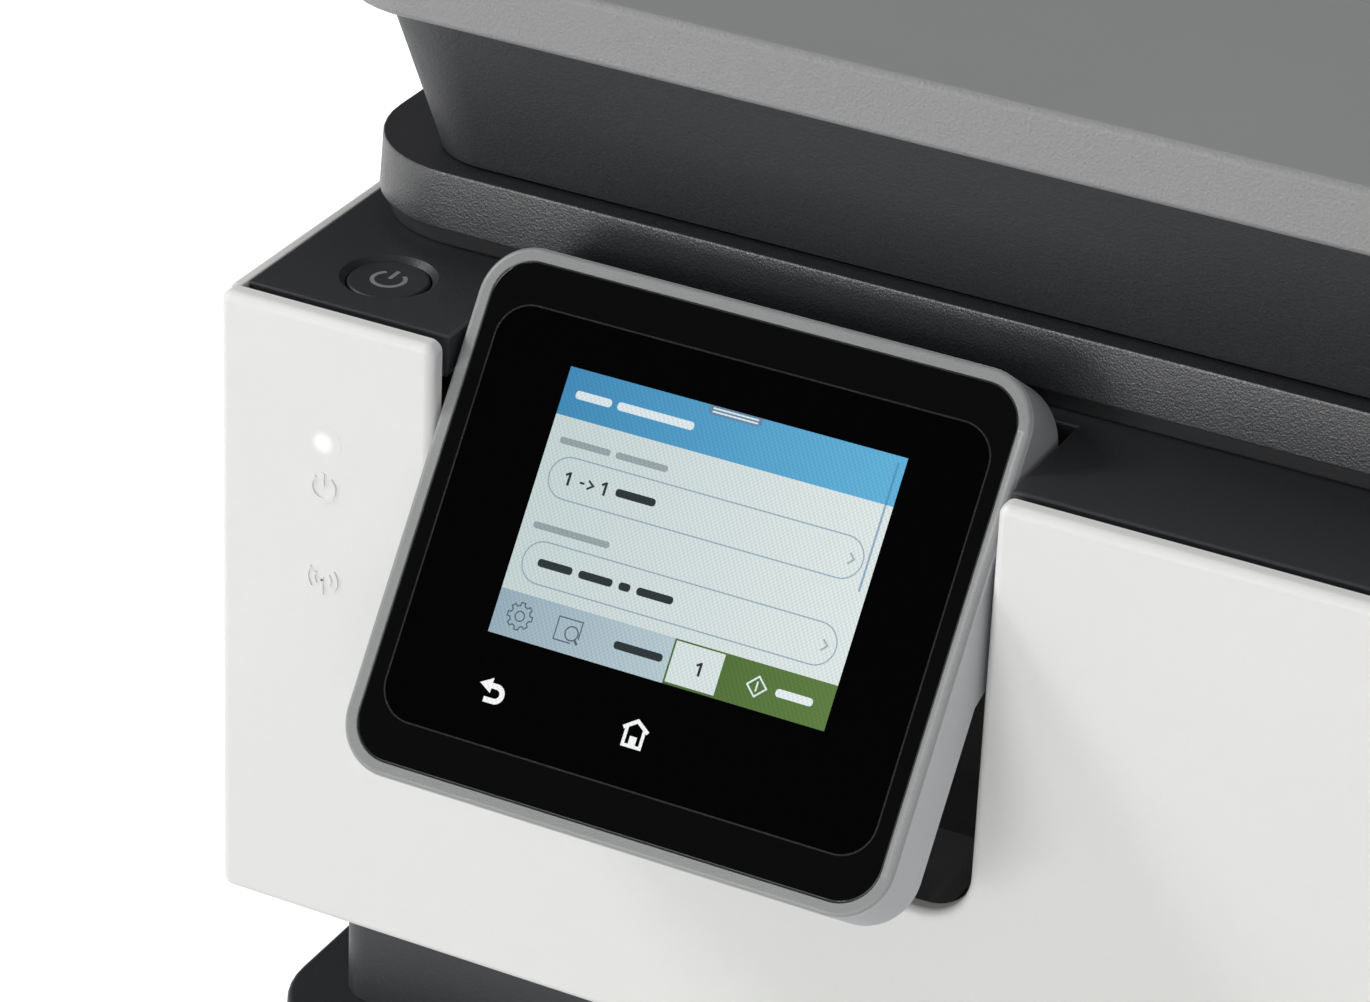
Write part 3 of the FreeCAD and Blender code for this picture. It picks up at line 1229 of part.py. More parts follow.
def lid_hinges():
    hinges = []
    for side in (-1, 1):
        centre = f"{side} * lid_hinge_x"
        lugs = []
        for end in (-1, 1):
            near_end = f"{centre} + {end} * (knuckle_half + fit)"
            x = (near_end, f"{near_end} + lug_t") if end > 0 else (f"{near_end} - lug_t", near_end)
            lugs.append(block("lug_post", x, about("lid_axis_y", "knuckle_r"), ("rim_top", "lid_axis_z")))
            lugs.append(rod("lug_eye", "x", ("lid_axis_y", "lid_axis_z"), x, "knuckle_r"))
        pin = rod("lug_pin", "x", ("lid_axis_y", "lid_axis_z"), about(centre, "knuckle_half + fit"),
                  "knuckle_pin_r")
        hinges.append(join("lid_hinge", *lugs, pin))
    finish("lid_hinges", group("hinges", hinges))


def bearing_places():
    """The feeder roller's bearing blocks, front and rear, along Y."""
    return (("feeder_front + bearing_t", "feeder_front + 2 * bearing_t"),
            ("feeder_rear - 2 * bearing_t", "feeder_rear - bearing_t"))


def lid_shell():
    outer = drafted("lid_outer", both("lid_half"), ("lid_front", "lid_rear"), ("lid_bottom", "slab_bottom"),
                    "lid_corner", "lid_flare")
    inward = "lid_wall - lid_floor * tan(lid_flare)"
    room = drafted("lid_room", both(f"lid_half - ({inward})"),
                   (f"lid_front + {inward}", f"lid_rear - ({inward})"),
                   ("lid_deck", f"slab_bottom + {OVER}"), "lid_corner", "lid_flare")
    pocket = block("pad_pocket", both("pad_half + fit"),
                   ("front + pane_front - pad_margin - fit", "front + pane_rear + pad_margin + fit"),
                   (f"lid_bottom - {OVER}", "lid_bottom + pad_sink"))
    knuckles = []
    bores = []
    for side in (-1, 1):
        x = about(f"{side} * lid_hinge_x", "knuckle_half")
        knuckles.append(rod("knuckle", "x", ("lid_axis_y", "lid_axis_z"), x, "knuckle_r"))
        knuckles.append(block("knuckle_arm", x, ("lid_rear", "lid_axis_y"),
                              ("lid_axis_z - knuckle_pin_r", "lid_axis_z + knuckle_r")))
        bores.append(rod("knuckle_bore", "x", ("lid_axis_y", "lid_axis_z"),
                         about(f"{side} * lid_hinge_x", f"knuckle_half + {OVER}"), "knuckle_pin_r + run_fit"))
    bearings = [
        block("bearing", about("roller_x", "bearing_half"), y, ("lid_deck", "roller_z + bearing_half"))
        for y in bearing_places()
    ]
    bores.append(rod("bearing_bore", "y", ("roller_x", "roller_z"), ("feeder_front", "feeder_rear"),
                     "feeder_shaft_r + run_fit"))
    shell = cut("lid_hollow", outer, room, pocket)
    finish("lid_shell", cut("lid", join("lid_solid", shell, *knuckles, *bearings), *bores))


def lid_pad():
    pad = block("pad", both("pad_half"),
                ("front + pane_front - pad_margin", "front + pane_rear + pad_margin"),
                ("rim_top + fit", "lid_bottom + pad_sink"))
    finish("lid_pad", pad)


def lid_cover():
    slab = round_block("slab_block", both("half_w"), ("slab_front", "top_rear"), ("slab_bottom", "slab_top"),
                       "slab_corner")
    slab = rounded("slab_upper_edge", slab, "slab_round", at_level("z", "slab_top"))
    slab = rounded("slab_lower_edge", slab, "slab_round", at_level("z", "slab_bottom"))
    through = (f"slab_bottom - {OVER}", f"slab_top + {OVER}")
    y = ("feeder_front", "feeder_rear")
    tools = [
        block("slab_feeder", ("cover_left", "cover_right"), y, through),
        block("slab_tray", ("doc_left", "doc_end"), y, through),
        block("slab_hollow", both("half_w - slab_corner"), ("slab_front + wall", "feeder_front - wall"),
              (f"slab_bottom - {OVER}", "slab_top - slab_skin")),
        rod("cover_pin_holes", "y", ("cover_axis_x", "cover_axis_z"),
            ("feeder_front - cover_pin_len", "feeder_rear + cover_pin_len"), "cover_pin_r + run_fit"),
        rod("doc_pin_holes", "y", ("doc_axis_x", "doc_axis_z"),
            ("feeder_front - cover_pin_len", "feeder_rear + cover_pin_len"), "cover_pin_r + run_fit"),
    ]
    finish("lid_cover", cut("slab", slab, *tools))


def feeder_cover():
    y = ("feeder_front + fit", "feeder_rear - fit")
    plate = block("cover_plate", ("cover_axis_x", "cover_right - fit"), y, ("slab_top - cover_t", "slab_top"))
    barrel = rod("cover_barrel", "y", ("cover_axis_x", "cover_axis_z"), y, "cover_t")
    pins = rod("cover_pins", "y", ("cover_axis_x", "cover_axis_z"),
               ("feeder_front - cover_pin_len + fit", "feeder_rear + cover_pin_len - fit"), "cover_pin_r")
    finish("feeder_cover", join("cover", plate, barrel, pins))


def feeder_roller():
    place = ("roller_x", "roller_z")
    shaft = rod("feeder_shaft", "y", place, ("feeder_front + fit", "feeder_rear - fit"), "feeder_shaft_r")
    middle = "(feeder_front + feeder_rear) / 2"
    tyres = [
        rod("feeder_tyre", "y", place,
            about(f"{middle} + {side} * feeder_roller_w * 2", "feeder_roller_w / 2"),
            "feeder_roller_r")
        for side in (-1, 0, 1)
    ]
    finish("feeder_roller", join("feeder", shaft, *tyres))


def document_tray():
    y = ("feeder_front + fit", "feeder_rear - fit")
    pan = block("doc_pan", ("doc_axis_x", "doc_end - fit"), y, ("doc_under", "slab_top"))
    room = block("doc_room", (f"doc_axis_x - doc_barrel - {OVER}", "doc_end - fit - doc_wall"),
                 ("feeder_front + fit + doc_wall", "feeder_rear - fit - doc_wall"),
                 ("doc_deck", f"slab_top + {OVER}"))
    tip = block("doc_tip", (f"doc_axis_x - {OVER}", "doc_axis_x + doc_sink"), y,
                ("doc_deck", f"slab_top + {OVER}"))
    barrel = rod("doc_roll", "y", ("doc_axis_x", "doc_axis_z"), y, "doc_barrel")
    pins = rod("doc_pins", "y", ("doc_axis_x", "doc_axis_z"),
               ("feeder_front - cover_pin_len + fit", "feeder_rear + cover_pin_len - fit"), "cover_pin_r")
    finish("document_tray", join("doc", cut("doc_hollow", pan, room, tip), barrel, pins))


def document_guide(label, side):
    """One of the two guides; side -1 is the front one."""
    wall_face = "feeder_front + 2 * fit + doc_wall" if side < 0 else "feeder_rear - 2 * fit - doc_wall"
    x = ("doc_left + doc_guide_x", "doc_left + doc_guide_x + doc_guide_len")
    inward = -side

    def strip(depth):
        far = f"{wall_face} + {inward} * ({depth})"
        return (wall_face, far) if inward > 0 else (far, wall_face)
    upright = block(label + "_upright", x, strip("doc_guide_t"),
                    ("doc_deck + fit", "slab_top - doc_guide_top"))
    foot = block(label + "_foot", x, strip("doc_guide_w"),
                 ("doc_deck + fit", "doc_deck + fit + doc_guide_t / 2"))
    finish(label, join(label + "_body", upright, foot))


def door_corner(edge):
    """Picks the door's four outer corners and the two at the top of the screen notch."""
    middle = edge.CenterOfMass
    outer = abs(abs(middle.x) - size("half_w")) < 1e-3
    upper = abs(middle.z - size("door_top")) < 1e-3
    return along("y")(edge) and (outer or upper)


def front_door():
    skin = block("door_skin", both("half_w"), ("front", "door_back"), ("door_bottom", "door_top"))
    notch = block("door_notch", about("panel_x", "notch_half"), (f"front - {OVER}", f"door_back + {OVER}"),
                  ("notch_floor", f"door_top + notch_corner + {OVER}"))
    notch = rounded("door_notch_round", notch, "notch_corner", along("y"))
    door = cut("door_notched", skin, notch)
    door = rounded("door_corners", door, "door_corner", door_corner)
    door = rounded("door_edges", door, "door_round", at_level("y", "front"))
    ears = []
    bores = []
    for side in (-1, 1):
        x = on_side(side, "chassis_half - fit - ear_t", "chassis_half - fit")
        ears.append(rod("door_ear", "x", ("hinge_y", "hinge_z"), x, "ear_r"))
        ears.append(block("door_ear_root", x, ("front + door_t / 2", "hinge_y"),
                          ("hinge_z", "hinge_z + ear_r")))
        bores.append(rod("door_ear_bore", "x", ("hinge_y", "hinge_z"),
                         on_side(side, f"chassis_half - ear_t - fit - {OVER}", "chassis_half"),
                         "hinge_pin_r + run_fit"))
    finish("front_door", cut("door", join("door_body", door, *ears), *bores))


def door_inner_panel():
    sheet = block("inner_sheet", both("inner_half"), ("door_back", "front + inner_depth"),
                  ("inner_bottom", "inner_top"))
    pocket = block("inner_pocket", both("inner_half - liner_t"),
                   (f"door_back - {OVER}", "front + inner_depth - liner_t"),
                   ("inner_bottom + liner_t", "inner_top - liner_t"))
    tub = block("recess_outer", about("panel_x", "notch_half + liner_t"),
                ("door_back", "front + recess_depth + liner_t"), ("notch_floor - liner_t", "inner_top"))
    room = block("recess_room", about("panel_x", "notch_half"),
                 (f"door_back - {OVER}", "front + recess_depth"),
                 ("notch_floor", f"door_top + notch_corner + {OVER}"))
    room = rounded("recess_round", room, "notch_corner", along("y"))
    bores = rod("pivot_bores", "x", ("pivot_y", "pivot_z"),
                about("panel_x", f"notch_half + liner_t + {OVER}"),
                "trunnion_r + run_fit")
    panel = join("inner_solid", cut("inner_tray", sheet, pocket), tub)
    finish("door_inner_panel", cut("inner", panel, room, bores))


def tilted(item):
    """Sets a touch panel piece, made about the pivot, into its tilted place."""
    item.Placement.Rotation = FreeCAD.Rotation(Vector(1, 0, 0), -size("tilt"))
    bind(item, "Placement.Base.x", "panel_x")
    bind(item, "Placement.Base.y", "pivot_y")
    bind(item, "Placement.Base.z", "pivot_z")
    return item


def panel_slab(name, inset, y, radius):
    """A plate with the touch panel's rounded outline, inset from its edge."""
    plate = block(name + "_plate", both(f"panel_half - {inset}"), y,
                  (f"-panel_below + {inset}", f"panel_top - {inset}"))
    return rounded(name, plate, radius, along("y"))


def panel_frame():
    outer = panel_slab("frame_outer", "0", ("-panel_front", "frame_back"), "panel_corner")
    front_face = -size("panel_front")
    outer = rounded("frame_edge", outer, "frame_round",
                    lambda edge: all(abs(p.y - front_face) < 1e-4 for p in edge.discretize(3)))
    glass_corner = size("panel_corner") - size("frame_lip")
    pocket = panel_slab("frame_pocket", "frame_lip", (f"-panel_front - {OVER}", "glass_back"), glass_corner)
    window = panel_slab("frame_window", "(frame_lip + frame_ledge)",
                        (f"-panel_front - {OVER}", f"frame_back + {OVER}"),
                        glass_corner - size("frame_ledge"))
    finish("panel_frame", tilted(cut("frame", outer, pocket, window)))


def panel_glass():
    corner = size("panel_corner") - size("frame_lip")
    glass = panel_slab("glass", "(frame_lip + run_fit)", ("glass_front", "glass_back"), corner)
    finish("panel_glass", tilted(rounded("glass_edges", glass, "glass_round", at_level("y", "glass_front"))))


def lcd_module():
    module = block("lcd_block", both("lcd_w / 2"), ("glass_back", "glass_back + lcd_t"),
                   about("lcd_z", "lcd_h / 2"))
    finish("lcd_module", tilted(group("lcd", [module])))


def panel_housing():
    corners = [
        ("frame_back", "-panel_below"), ("housing_back", "-panel_below"), ("housing_back", "-bulge_start"),
        ("housing_bulge", "-bulge_low"), ("housing_bulge", "bulge_high"), ("housing_top", "panel_top"),
        ("frame_back", "panel_top"),
    ]
    wedge = profile("housing_wedge", corners, both("panel_half"))
    outline = panel_slab("housing_outline", "0", ("frame_back", "housing_bulge"), "panel_corner")
    solid = common("housing_solid", wedge, outline)
    room = panel_slab("housing_room", "housing_wall", (f"frame_back - {OVER}", "housing_top - housing_wall"),
                      size("panel_corner") - size("housing_wall"))
    bulge = block("housing_bulge_room", both("panel_half - housing_wall"),
                  ("frame_back", "housing_bulge - housing_wall"), ("-bulge_low", "bulge_high"))
    trunnions = [
        rod("trunnion", "x", ("0", "0"),
            on_side(side, "panel_half - housing_wall", "notch_half + liner_t - fit"),
            "trunnion_r")
        for side in (-1, 1)
    ]
    shell = cut("housing_shell", solid, room, bulge)
    finish("panel_housing", tilted(join("housing", shell, *trunnions)))


def build():
    fill_sheets()
    base_shell()
    rubber_feet()
    neck_frame()
    lower_deck()
    side_panel("left_side_panel", -1)
    side_panel("right_side_panel", 1)
    top_deck()
    power_button()
    rear_panel()
    case_screws()
    rear_door()
    chassis_plate("left_chassis_plate", -1)
    chassis_plate("right_chassis_plate", 1)
    carriage_beam()
    guide_rod()
    carriage_belt()
    belt_pulley("motor_pulley", -1, "beam_y + sheet_t + motor_len / 2")
    belt_pulley("idler_pulley", 1, "beam_y + sheet_t + wall")
    carriage_motor()
    carriage()
    print_head()
    for index, colour in enumerate(CARTRIDGES):
        ink_cartridge(colour, index)
    platen()
    service_station()
    feed_roller()
    motor_pinion()
    paper_motor()
    exit_roller()
    roller_belt()
    pickup_roller()
    paper_tray()
    width_guide("left_width_guide", -1)
    width_guide("right_width_guide", 1)
    length_guide()
    output_tray()
    output_extension()
    main_board()
    data_sockets()
    power_supply()
    scanner_base()
    scanner_glass()
    scan_bar()
    lid_hinges()
    lid_shell()
    lid_pad()
    lid_cover()
    feeder_cover()
    feeder_roller()
    document_tray()
    document_guide("front_document_guide", -1)
    document_guide("rear_document_guide", 1)
    front_door()
    door_inner_panel()
    panel_frame()
    panel_glass()
    lcd_module()
    panel_housing()
    doc.recompute()


def check():
    for item in doc.Objects:
        if "Invalid" in item.State or "Error" in item.State:
            raise ValueError(f"{item.Label} did not compute: {item.State}")
    for item in parts:
        if item.Shape.isNull() or not item.Shape.isValid() or not item.Shape.Solids:
            raise ValueError(f"{item.Label} has no valid solid")


def export():
    os.makedirs("parts", exist_ok=True)
    for item in parts:
        item.Shape.exportStep(os.path.join("parts", item.Label + ".step"))


build()
check()
export()
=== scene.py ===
"""The inkjet printer in a plain white studio, seen from the front left and above."""
import bpy
import bmesh
import json
import math
from mathutils import Matrix, Vector


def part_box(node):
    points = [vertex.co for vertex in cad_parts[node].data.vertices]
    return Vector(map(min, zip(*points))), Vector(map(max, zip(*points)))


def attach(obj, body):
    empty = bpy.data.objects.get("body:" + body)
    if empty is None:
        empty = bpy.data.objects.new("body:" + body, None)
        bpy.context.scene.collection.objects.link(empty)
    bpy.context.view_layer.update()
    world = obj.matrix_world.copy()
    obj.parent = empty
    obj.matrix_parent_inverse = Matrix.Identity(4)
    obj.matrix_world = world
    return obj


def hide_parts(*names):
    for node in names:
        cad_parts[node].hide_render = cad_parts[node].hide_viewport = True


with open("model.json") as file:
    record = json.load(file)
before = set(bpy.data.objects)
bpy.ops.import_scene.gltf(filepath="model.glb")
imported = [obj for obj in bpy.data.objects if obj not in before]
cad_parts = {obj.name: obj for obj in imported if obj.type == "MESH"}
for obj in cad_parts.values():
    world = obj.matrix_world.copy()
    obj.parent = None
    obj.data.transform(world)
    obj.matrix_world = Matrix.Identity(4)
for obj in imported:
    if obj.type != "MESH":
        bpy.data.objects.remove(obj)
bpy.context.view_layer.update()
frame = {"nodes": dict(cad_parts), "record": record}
MM = 0.001
# Sizes of slow patterns in mm: tone drift in plastic, leaves on zinc
DRIFT_SIZE = 55
SPANGLE_SIZE = 9


# Colours and node trees

def srgb(code):
    """A colour written as sRGB hex, in Blender's linear values."""
    parts = [int(code[i:i + 2], 16) / 255 for i in (1, 3, 5)]
    return tuple(c / 12.92 if c <= 0.04045 else ((c + 0.055) / 1.055) ** 2.4 for c in parts) + (1.0,)


def add(tree, kind, settings=None, inputs=None):
    """Adds one node: settings are its own properties, inputs are values or the sockets that feed it."""
    node = tree.nodes.new(kind)
    for name, value in (settings or {}).items():
        setattr(node, name, value)
    for name, value in (inputs or {}).items():
        if isinstance(value, bpy.types.NodeSocket):
            tree.links.new(value, node.inputs[name])
        else:
            node.inputs[name].default_value = value
    return node


def blank_finish(name):
    """A new material with its shader, its output and the piece's own coordinates in millimetres."""
    finish = bpy.data.materials.new(name)
    finish.use_nodes = True
    tree = finish.node_tree
    tree.nodes.clear()
    shader = add(tree, "ShaderNodeBsdfPrincipled")
    add(tree, "ShaderNodeOutputMaterial", None, {"Surface": shader.outputs[0]})
    place = add(tree, "ShaderNodeTexCoord").outputs["Object"]
    in_mm = add(tree, "ShaderNodeVectorMath", {"operation": "SCALE"}, {0: place, "Scale": 1000.0}).outputs[0]
    return finish, tree, shader, in_mm


def moulded(name, colour, grain, depth, gloss, drift, mottle_and_pit_shade):
    """A moulded plastic: its grain's size and depth in mm, its roughness, slow tone drift, and a fine mottle
    that darkens the grain's pits as painted shade.
    """
    finish, tree, shader, in_mm = blank_finish(name)
    cells = add(tree, "ShaderNodeTexVoronoi", None, {"Vector": in_mm, "Scale": 1 / grain})
    fine = add(tree, "ShaderNodeTexNoise", None, {"Vector": in_mm, "Scale": 1.6 / grain, "Detail": 2.0})
    height = add(tree, "ShaderNodeMath", {"operation": "MULTIPLY_ADD"},
                 {0: cells.outputs["Distance"], 1: 0.7, 2: fine.outputs["Fac"]})
    bump = add(tree, "ShaderNodeBump", None,
               {"Height": height.outputs[0], "Strength": 1.0, "Distance": depth * MM})
    slow = add(tree, "ShaderNodeTexNoise", None, {"Vector": in_mm, "Scale": 1 / DRIFT_SIZE, "Detail": 2.0})
    tone = add(tree, "ShaderNodeMapRange", None,
               {"Value": slow.outputs["Fac"], "From Min": 0.3, "From Max": 0.7,
                "To Min": 1 - drift, "To Max": 1 + drift})
    mottle_and_pit_shade_tone = add(tree, "ShaderNodeMapRange", None,
                {"Value": fine.outputs["Fac"], "From Min": 0.35, "From Max": 0.65,
                 "To Min": 1 - mottle_and_pit_shade, "To Max": 1 + mottle_and_pit_shade})
    shade = add(tree, "ShaderNodeMath", {"operation": "MULTIPLY"}, {0: tone.outputs[0], 1: mottle_and_pit_shade_tone.outputs[0]})
    paint = add(tree, "ShaderNodeVectorMath", {"operation": "SCALE"},
                {0: srgb(colour)[:3], "Scale": shade.outputs[0]})
    sheen = add(tree, "ShaderNodeMapRange", None,
                {"Value": fine.outputs["Fac"], "From Min": 0.3, "From Max": 0.7,
                 "To Min": gloss - 0.06, "To Max": gloss + 0.06})
    tree.links.new(paint.outputs[0], shader.inputs["Base Color"])
    tree.links.new(sheen.outputs[0], shader.inputs["Roughness"])
    tree.links.new(bump.outputs[0], shader.inputs["Normal"])
    shader.inputs["IOR"].default_value = 1.5
    return finish


def metal(name, colour, gloss, stretch, spangle=0.0):
    """A metal with fine lines drawn along one axis: stretch gives the line spacing in mm on each axis."""
    finish, tree, shader, in_mm = blank_finish(name)
    lines = add(tree, "ShaderNodeMapping", {"vector_type": "TEXTURE"}, {"Vector": in_mm, "Scale": stretch})
    brush = add(tree, "ShaderNodeTexNoise", None, {"Vector": lines.outputs[0], "Scale": 1.0, "Detail": 3.0})
    leaf = add(tree, "ShaderNodeTexVoronoi", None, {"Vector": in_mm, "Scale": 1 / SPANGLE_SIZE})
    bright = add(tree, "ShaderNodeMath", {"operation": "MULTIPLY_ADD"},
                 {0: leaf.outputs["Color"], 1: spangle, 2: 1 - spangle / 2})
    paint = add(tree, "ShaderNodeVectorMath", {"operation": "SCALE"},
                {0: srgb(colour)[:3], "Scale": bright.outputs[0]})
    sheen = add(tree, "ShaderNodeMapRange", None,
                {"Value": brush.outputs["Fac"], "From Min": 0.3, "From Max": 0.7,
                 "To Min": gloss - 0.08, "To Max": gloss + 0.08})
    bump = add(tree, "ShaderNodeBump", None,
               {"Height": brush.outputs["Fac"], "Strength": 0.3, "Distance": 0.02 * MM})
    tree.links.new(paint.outputs[0], shader.inputs["Base Color"])
    tree.links.new(sheen.outputs[0], shader.inputs["Roughness"])
    tree.links.new(bump.outputs[0], shader.inputs["Normal"])
    shader.inputs["Metallic"].default_value = 1.0
    return finish


def glass(name, colour, smear, least, most):
    """Glass with a faint film on it: the smears' size in mm, and the least and most roughness."""
    finish, tree, shader, in_mm = blank_finish(name)
    cloud = add(tree, "ShaderNodeTexNoise", None, {"Vector": in_mm, "Scale": 1 / smear, "Detail": 3.0})
    film = add(tree, "ShaderNodeMapRange", None,
               {"Value": cloud.outputs["Fac"], "From Min": 0.3, "From Max": 0.7,
                "To Min": least, "To Max": most})
    tree.links.new(film.outputs[0], shader.inputs["Roughness"])
    shader.inputs["Base Color"].default_value = srgb(colour)
    return finish


def shine(finish, level):
    """Sets how strongly a finish mirrors: 0.5 is plain plastic."""
    finish.node_tree.nodes["Principled BSDF"].inputs["Specular IOR Level"].default_value = level


def lit(name, colour, far_colour=None):
    """Light from the display through its fine crossed pixel hatch, brighter toward the right."""
    finish, tree, shader, in_mm = blank_finish(name)
    bands = []
    for angle, spacing in HATCH:
        turned = add(tree, "ShaderNodeMapping", None,
                     {"Vector": in_mm, "Rotation": (0.0, math.radians(angle), 0.0)})
        bands.append(add(tree, "ShaderNodeTexWave", {"wave_type": "BANDS", "bands_direction": "X"},
                         {"Vector": turned.outputs[0], "Scale": WAVE_LENGTH / spacing}).outputs["Fac"])
    hatch = add(tree, "ShaderNodeMath", {"operation": "ADD"}, {0: bands[0], 1: bands[1]})
    level = add(tree, "ShaderNodeMapRange", None,
                {"Value": hatch.outputs[0], "From Max": 2.0, "To Min": 0.87, "To Max": 1.11})
    across = add(tree, "ShaderNodeSeparateXYZ", None, {0: in_mm}).outputs["X"]
    left = PANEL_X + DISPLAY_LEFT
    share = add(tree, "ShaderNodeMapRange", None,
                {"Value": across, "From Min": left, "From Max": left + DISPLAY_W})
    mixed = add(tree, "ShaderNodeMix", {"data_type": "RGBA"},
                {0: share.outputs[0], 6: srgb(colour), 7: srgb(far_colour or colour)})
    light = add(tree, "ShaderNodeVectorMath", {"operation": "SCALE"},
                {0: mixed.outputs[2], "Scale": level.outputs[0]})
    tree.links.new(light.outputs[0], shader.inputs["Emission Color"])
    shader.inputs["Emission Strength"].default_value = 1.0
    shader.inputs["Base Color"].default_value = srgb("#050505")
    shader.inputs["Roughness"].default_value = 0.25
    shader.inputs["Specular IOR Level"].default_value = 0.1
    return finish


# Places that the drawings on the printer are set by, in mm

low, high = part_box("front_door")
DOOR_FRONT = low.y / MM
DOOR_TOP = high.z / MM
BODY_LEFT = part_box("left_side_panel")[0].x / MM
TILT = math.radians(35)
PANEL_FROM_SIDE, PIVOT_DEPTH, PIVOT_DROP = 82.8, 5.4, 16
PANEL_X = BODY_LEFT + PANEL_FROM_SIDE
PIVOT = Vector((PANEL_X, DOOR_FRONT + PIVOT_DEPTH, DOOR_TOP - PIVOT_DROP))
ON_PANEL = Matrix.Translation(PIVOT) @ Matrix.Rotation(-TILT, 4, "X")
GLASS_FRONT = -6.45
# Where the silver stops on the frame's rounded edge: the lighter grey past it is partly the housing's own
# colour and partly a painted highlight
FRAME_ROUND_END = -6.2
DISPLAY_LEFT, DISPLAY_TOP = -26.75, 13.6
DISPLAY_W, DISPLAY_H = 55.05, 40.9
# The display's crossed lines: angle in degrees and spacing in mm, coarser than real pixels so that they show
HATCH = ((38, 0.60), (-52, 0.42))
# A wave texture of scale 1 repeats after this many mm
WAVE_LENGTH = 0.314


# Finishes

# White ABS with a very fine satin grain: soft even sheen, almost no sparkle
white_abs = moulded("white_moulded_abs", "#E2E2E0", 0.35, 0.010, 0.46, 0.008, 0.006)
# Dark grey ABS with a deep glossy spark grain on the scanner's rim: bright flecks where the light grazes it.
# This grain, the lid's and the slab's are drawn a little coarser than the real ones, so that they show
rim_abs = moulded("dark_spark_grained_abs", "#26272A", 0.42, 0.045, 0.38, 0.05, 0.06)
shine(rim_abs, 1.0)
# Dark grey ABS of the lid, with a quieter grain
lid_abs = moulded("dark_grained_abs", "#292A2D", 0.58, 0.048, 0.55, 0.04, 0.10)
# The same dark ABS with a finer grain on the deck and base
deck_abs = moulded("dark_fine_grained_abs", "#2C2D30", 0.45, 0.030, 0.48, 0.04, 0.04)
# Light grey ABS round the lid slab's edge, leathery grain with a soft sheen
slab_abs = moulded("grey_grained_abs", "#8D8D8D", 0.60, 0.100, 0.45, 0.02, 0.035)
# The slab's flat top: the same grey with a flatter, finer texture, and a little darker as painted shade where
# it faces up
fine_grey_painted_shade = moulded("grey_fine_textured_abs_painted_shade", "#868787", 0.40, 0.018, 0.50, 0.02, 0.015)
# Plain dark ABS under the scanner's rim, matt, its colour darkened as painted shade
foot_painted_shade = moulded("dark_plain_abs_painted_shade", "#1D1E20", 0.45, 0.012, 0.55, 0.03, 0.03)
# Silver paint on ABS: smooth, faint metallic flecks
silver_paint = moulded("silver_painted_abs", "#8D8E8E", 0.25, 0.014, 0.36, 0.02, 0.09)
# Mid grey ABS of the panel's back housing, smooth satin
housing_abs = moulded("grey_satin_abs", "#B8B9BC", 0.35, 0.010, 0.42, 0.015, 0.01)
# Black polystyrene, moulded against a polished tool
black_gloss = moulded("black_polished_styrene", "#131314", 0.5, 0.004, 0.26, 0.03, 0.02)
# Black liner of the screen recess, satin rather than polished
recess_black = moulded("black_satin_styrene", "#0E0E0F", 0.5, 0.006, 0.58, 0.03, 0.02)
shine(recess_black, 0.2)
# Dark grey ABS of the inner pieces, plain tool finish
inner_abs = moulded("inner_grey_abs", "#55585A", 0.5, 0.015, 0.45, 0.03, 0.02)
# Natural acetal: creamy white and slightly waxy
acetal = moulded("natural_acetal", "#DAD9D0", 0.4, 0.006, 0.35, 0.02, 0.01)
# Black moulded case of the power supply
supply_abs = moulded("black_supply_case", "#1E1E1F", 0.6, 0.030, 0.5, 0.04, 0.04)
# Nitrile rubber: matt, faintly dusty and mottled
rubber = moulded("matt_nitrile_rubber", "#232323", 0.3, 0.020, 0.78, 0.10, 0.08)
# Polypropylene ink cartridges in their ink's colour
ink_black = moulded("black_polypropylene", "#1B1B1C", 0.4, 0.012, 0.42, 0.03, 0.02)
ink_cyan = moulded("cyan_polypropylene", "#0F8DC4", 0.4, 0.012, 0.42, 0.03, 0.02)
ink_magenta = moulded("magenta_polypropylene", "#C21C6E", 0.4, 0.012, 0.42, 0.03, 0.02)
ink_yellow = moulded("yellow_polypropylene", "#E2C51A", 0.4, 0.012, 0.42, 0.03, 0.02)
# White polyester sheet on foam: soft, faintly quilted
pad_sheet = moulded("white_foam_backing", "#ECECEA", 1.2, 0.030, 0.7, 0.015, 0.01)
# Green solder mask over copper: glossy with a fine mottle
solder_mask = moulded("green_solder_mask", "#1D5B33", 2.4, 0.020, 0.3, 0.10, 0.12)
# Zinc-plated sheet: pale spangle with faint rolling lines
zinc_sheet = metal("zinc_plated_sheet", "#B4B6B8", 0.34, (2.0, 60.0, 0.6), 0.10)
# Ground steel rod: bright, with grinding lines round it
ground_rod = metal("ground_steel", "#C6C7C9", 0.18, (0.3, 40.0, 40.0))
# Plated motor can
plated_can = metal("plated_motor_can", "#8D8F92", 0.32, (0.5, 30.0, 30.0))
# Tinned socket shells
tinned = metal("tinned_socket_shell", "#B0B1B2", 0.30, (20.0, 0.5, 20.0))
# Black zinc screws
black_zinc = metal("black_zinc_screw", "#3A3B3D", 0.40, (0.6, 0.6, 0.6))

# Cover glass printed black behind: deep black with one clear reflection
cover_glass = glass("black_printed_glass", "#060606", 14, 0.04, 0.10)
shine(cover_glass, 0.25)
# Float glass of the flatbed: clear, with a faint green body and a slight film
float_glass = glass("float_glass", "#EAF4F0", 40, 0.0, 0.04)
shader = float_glass.node_tree.nodes["Principled BSDF"]
shader.inputs["Transmission Weight"].default_value = 1.0
shader.inputs["IOR"].default_value = 1.52
# The glass's ground edge and the thin line round the touch area: polished black that catches the light, and a
# grey lighter than the glass as a painted glint
polished_edge_painted_glint = moulded("black_polished_edge_painted_glint", "#1C1D1F", 0.5, 0.004, 0.22, 0.05, 0.02)
shine(polished_edge_painted_glint, 1.0)
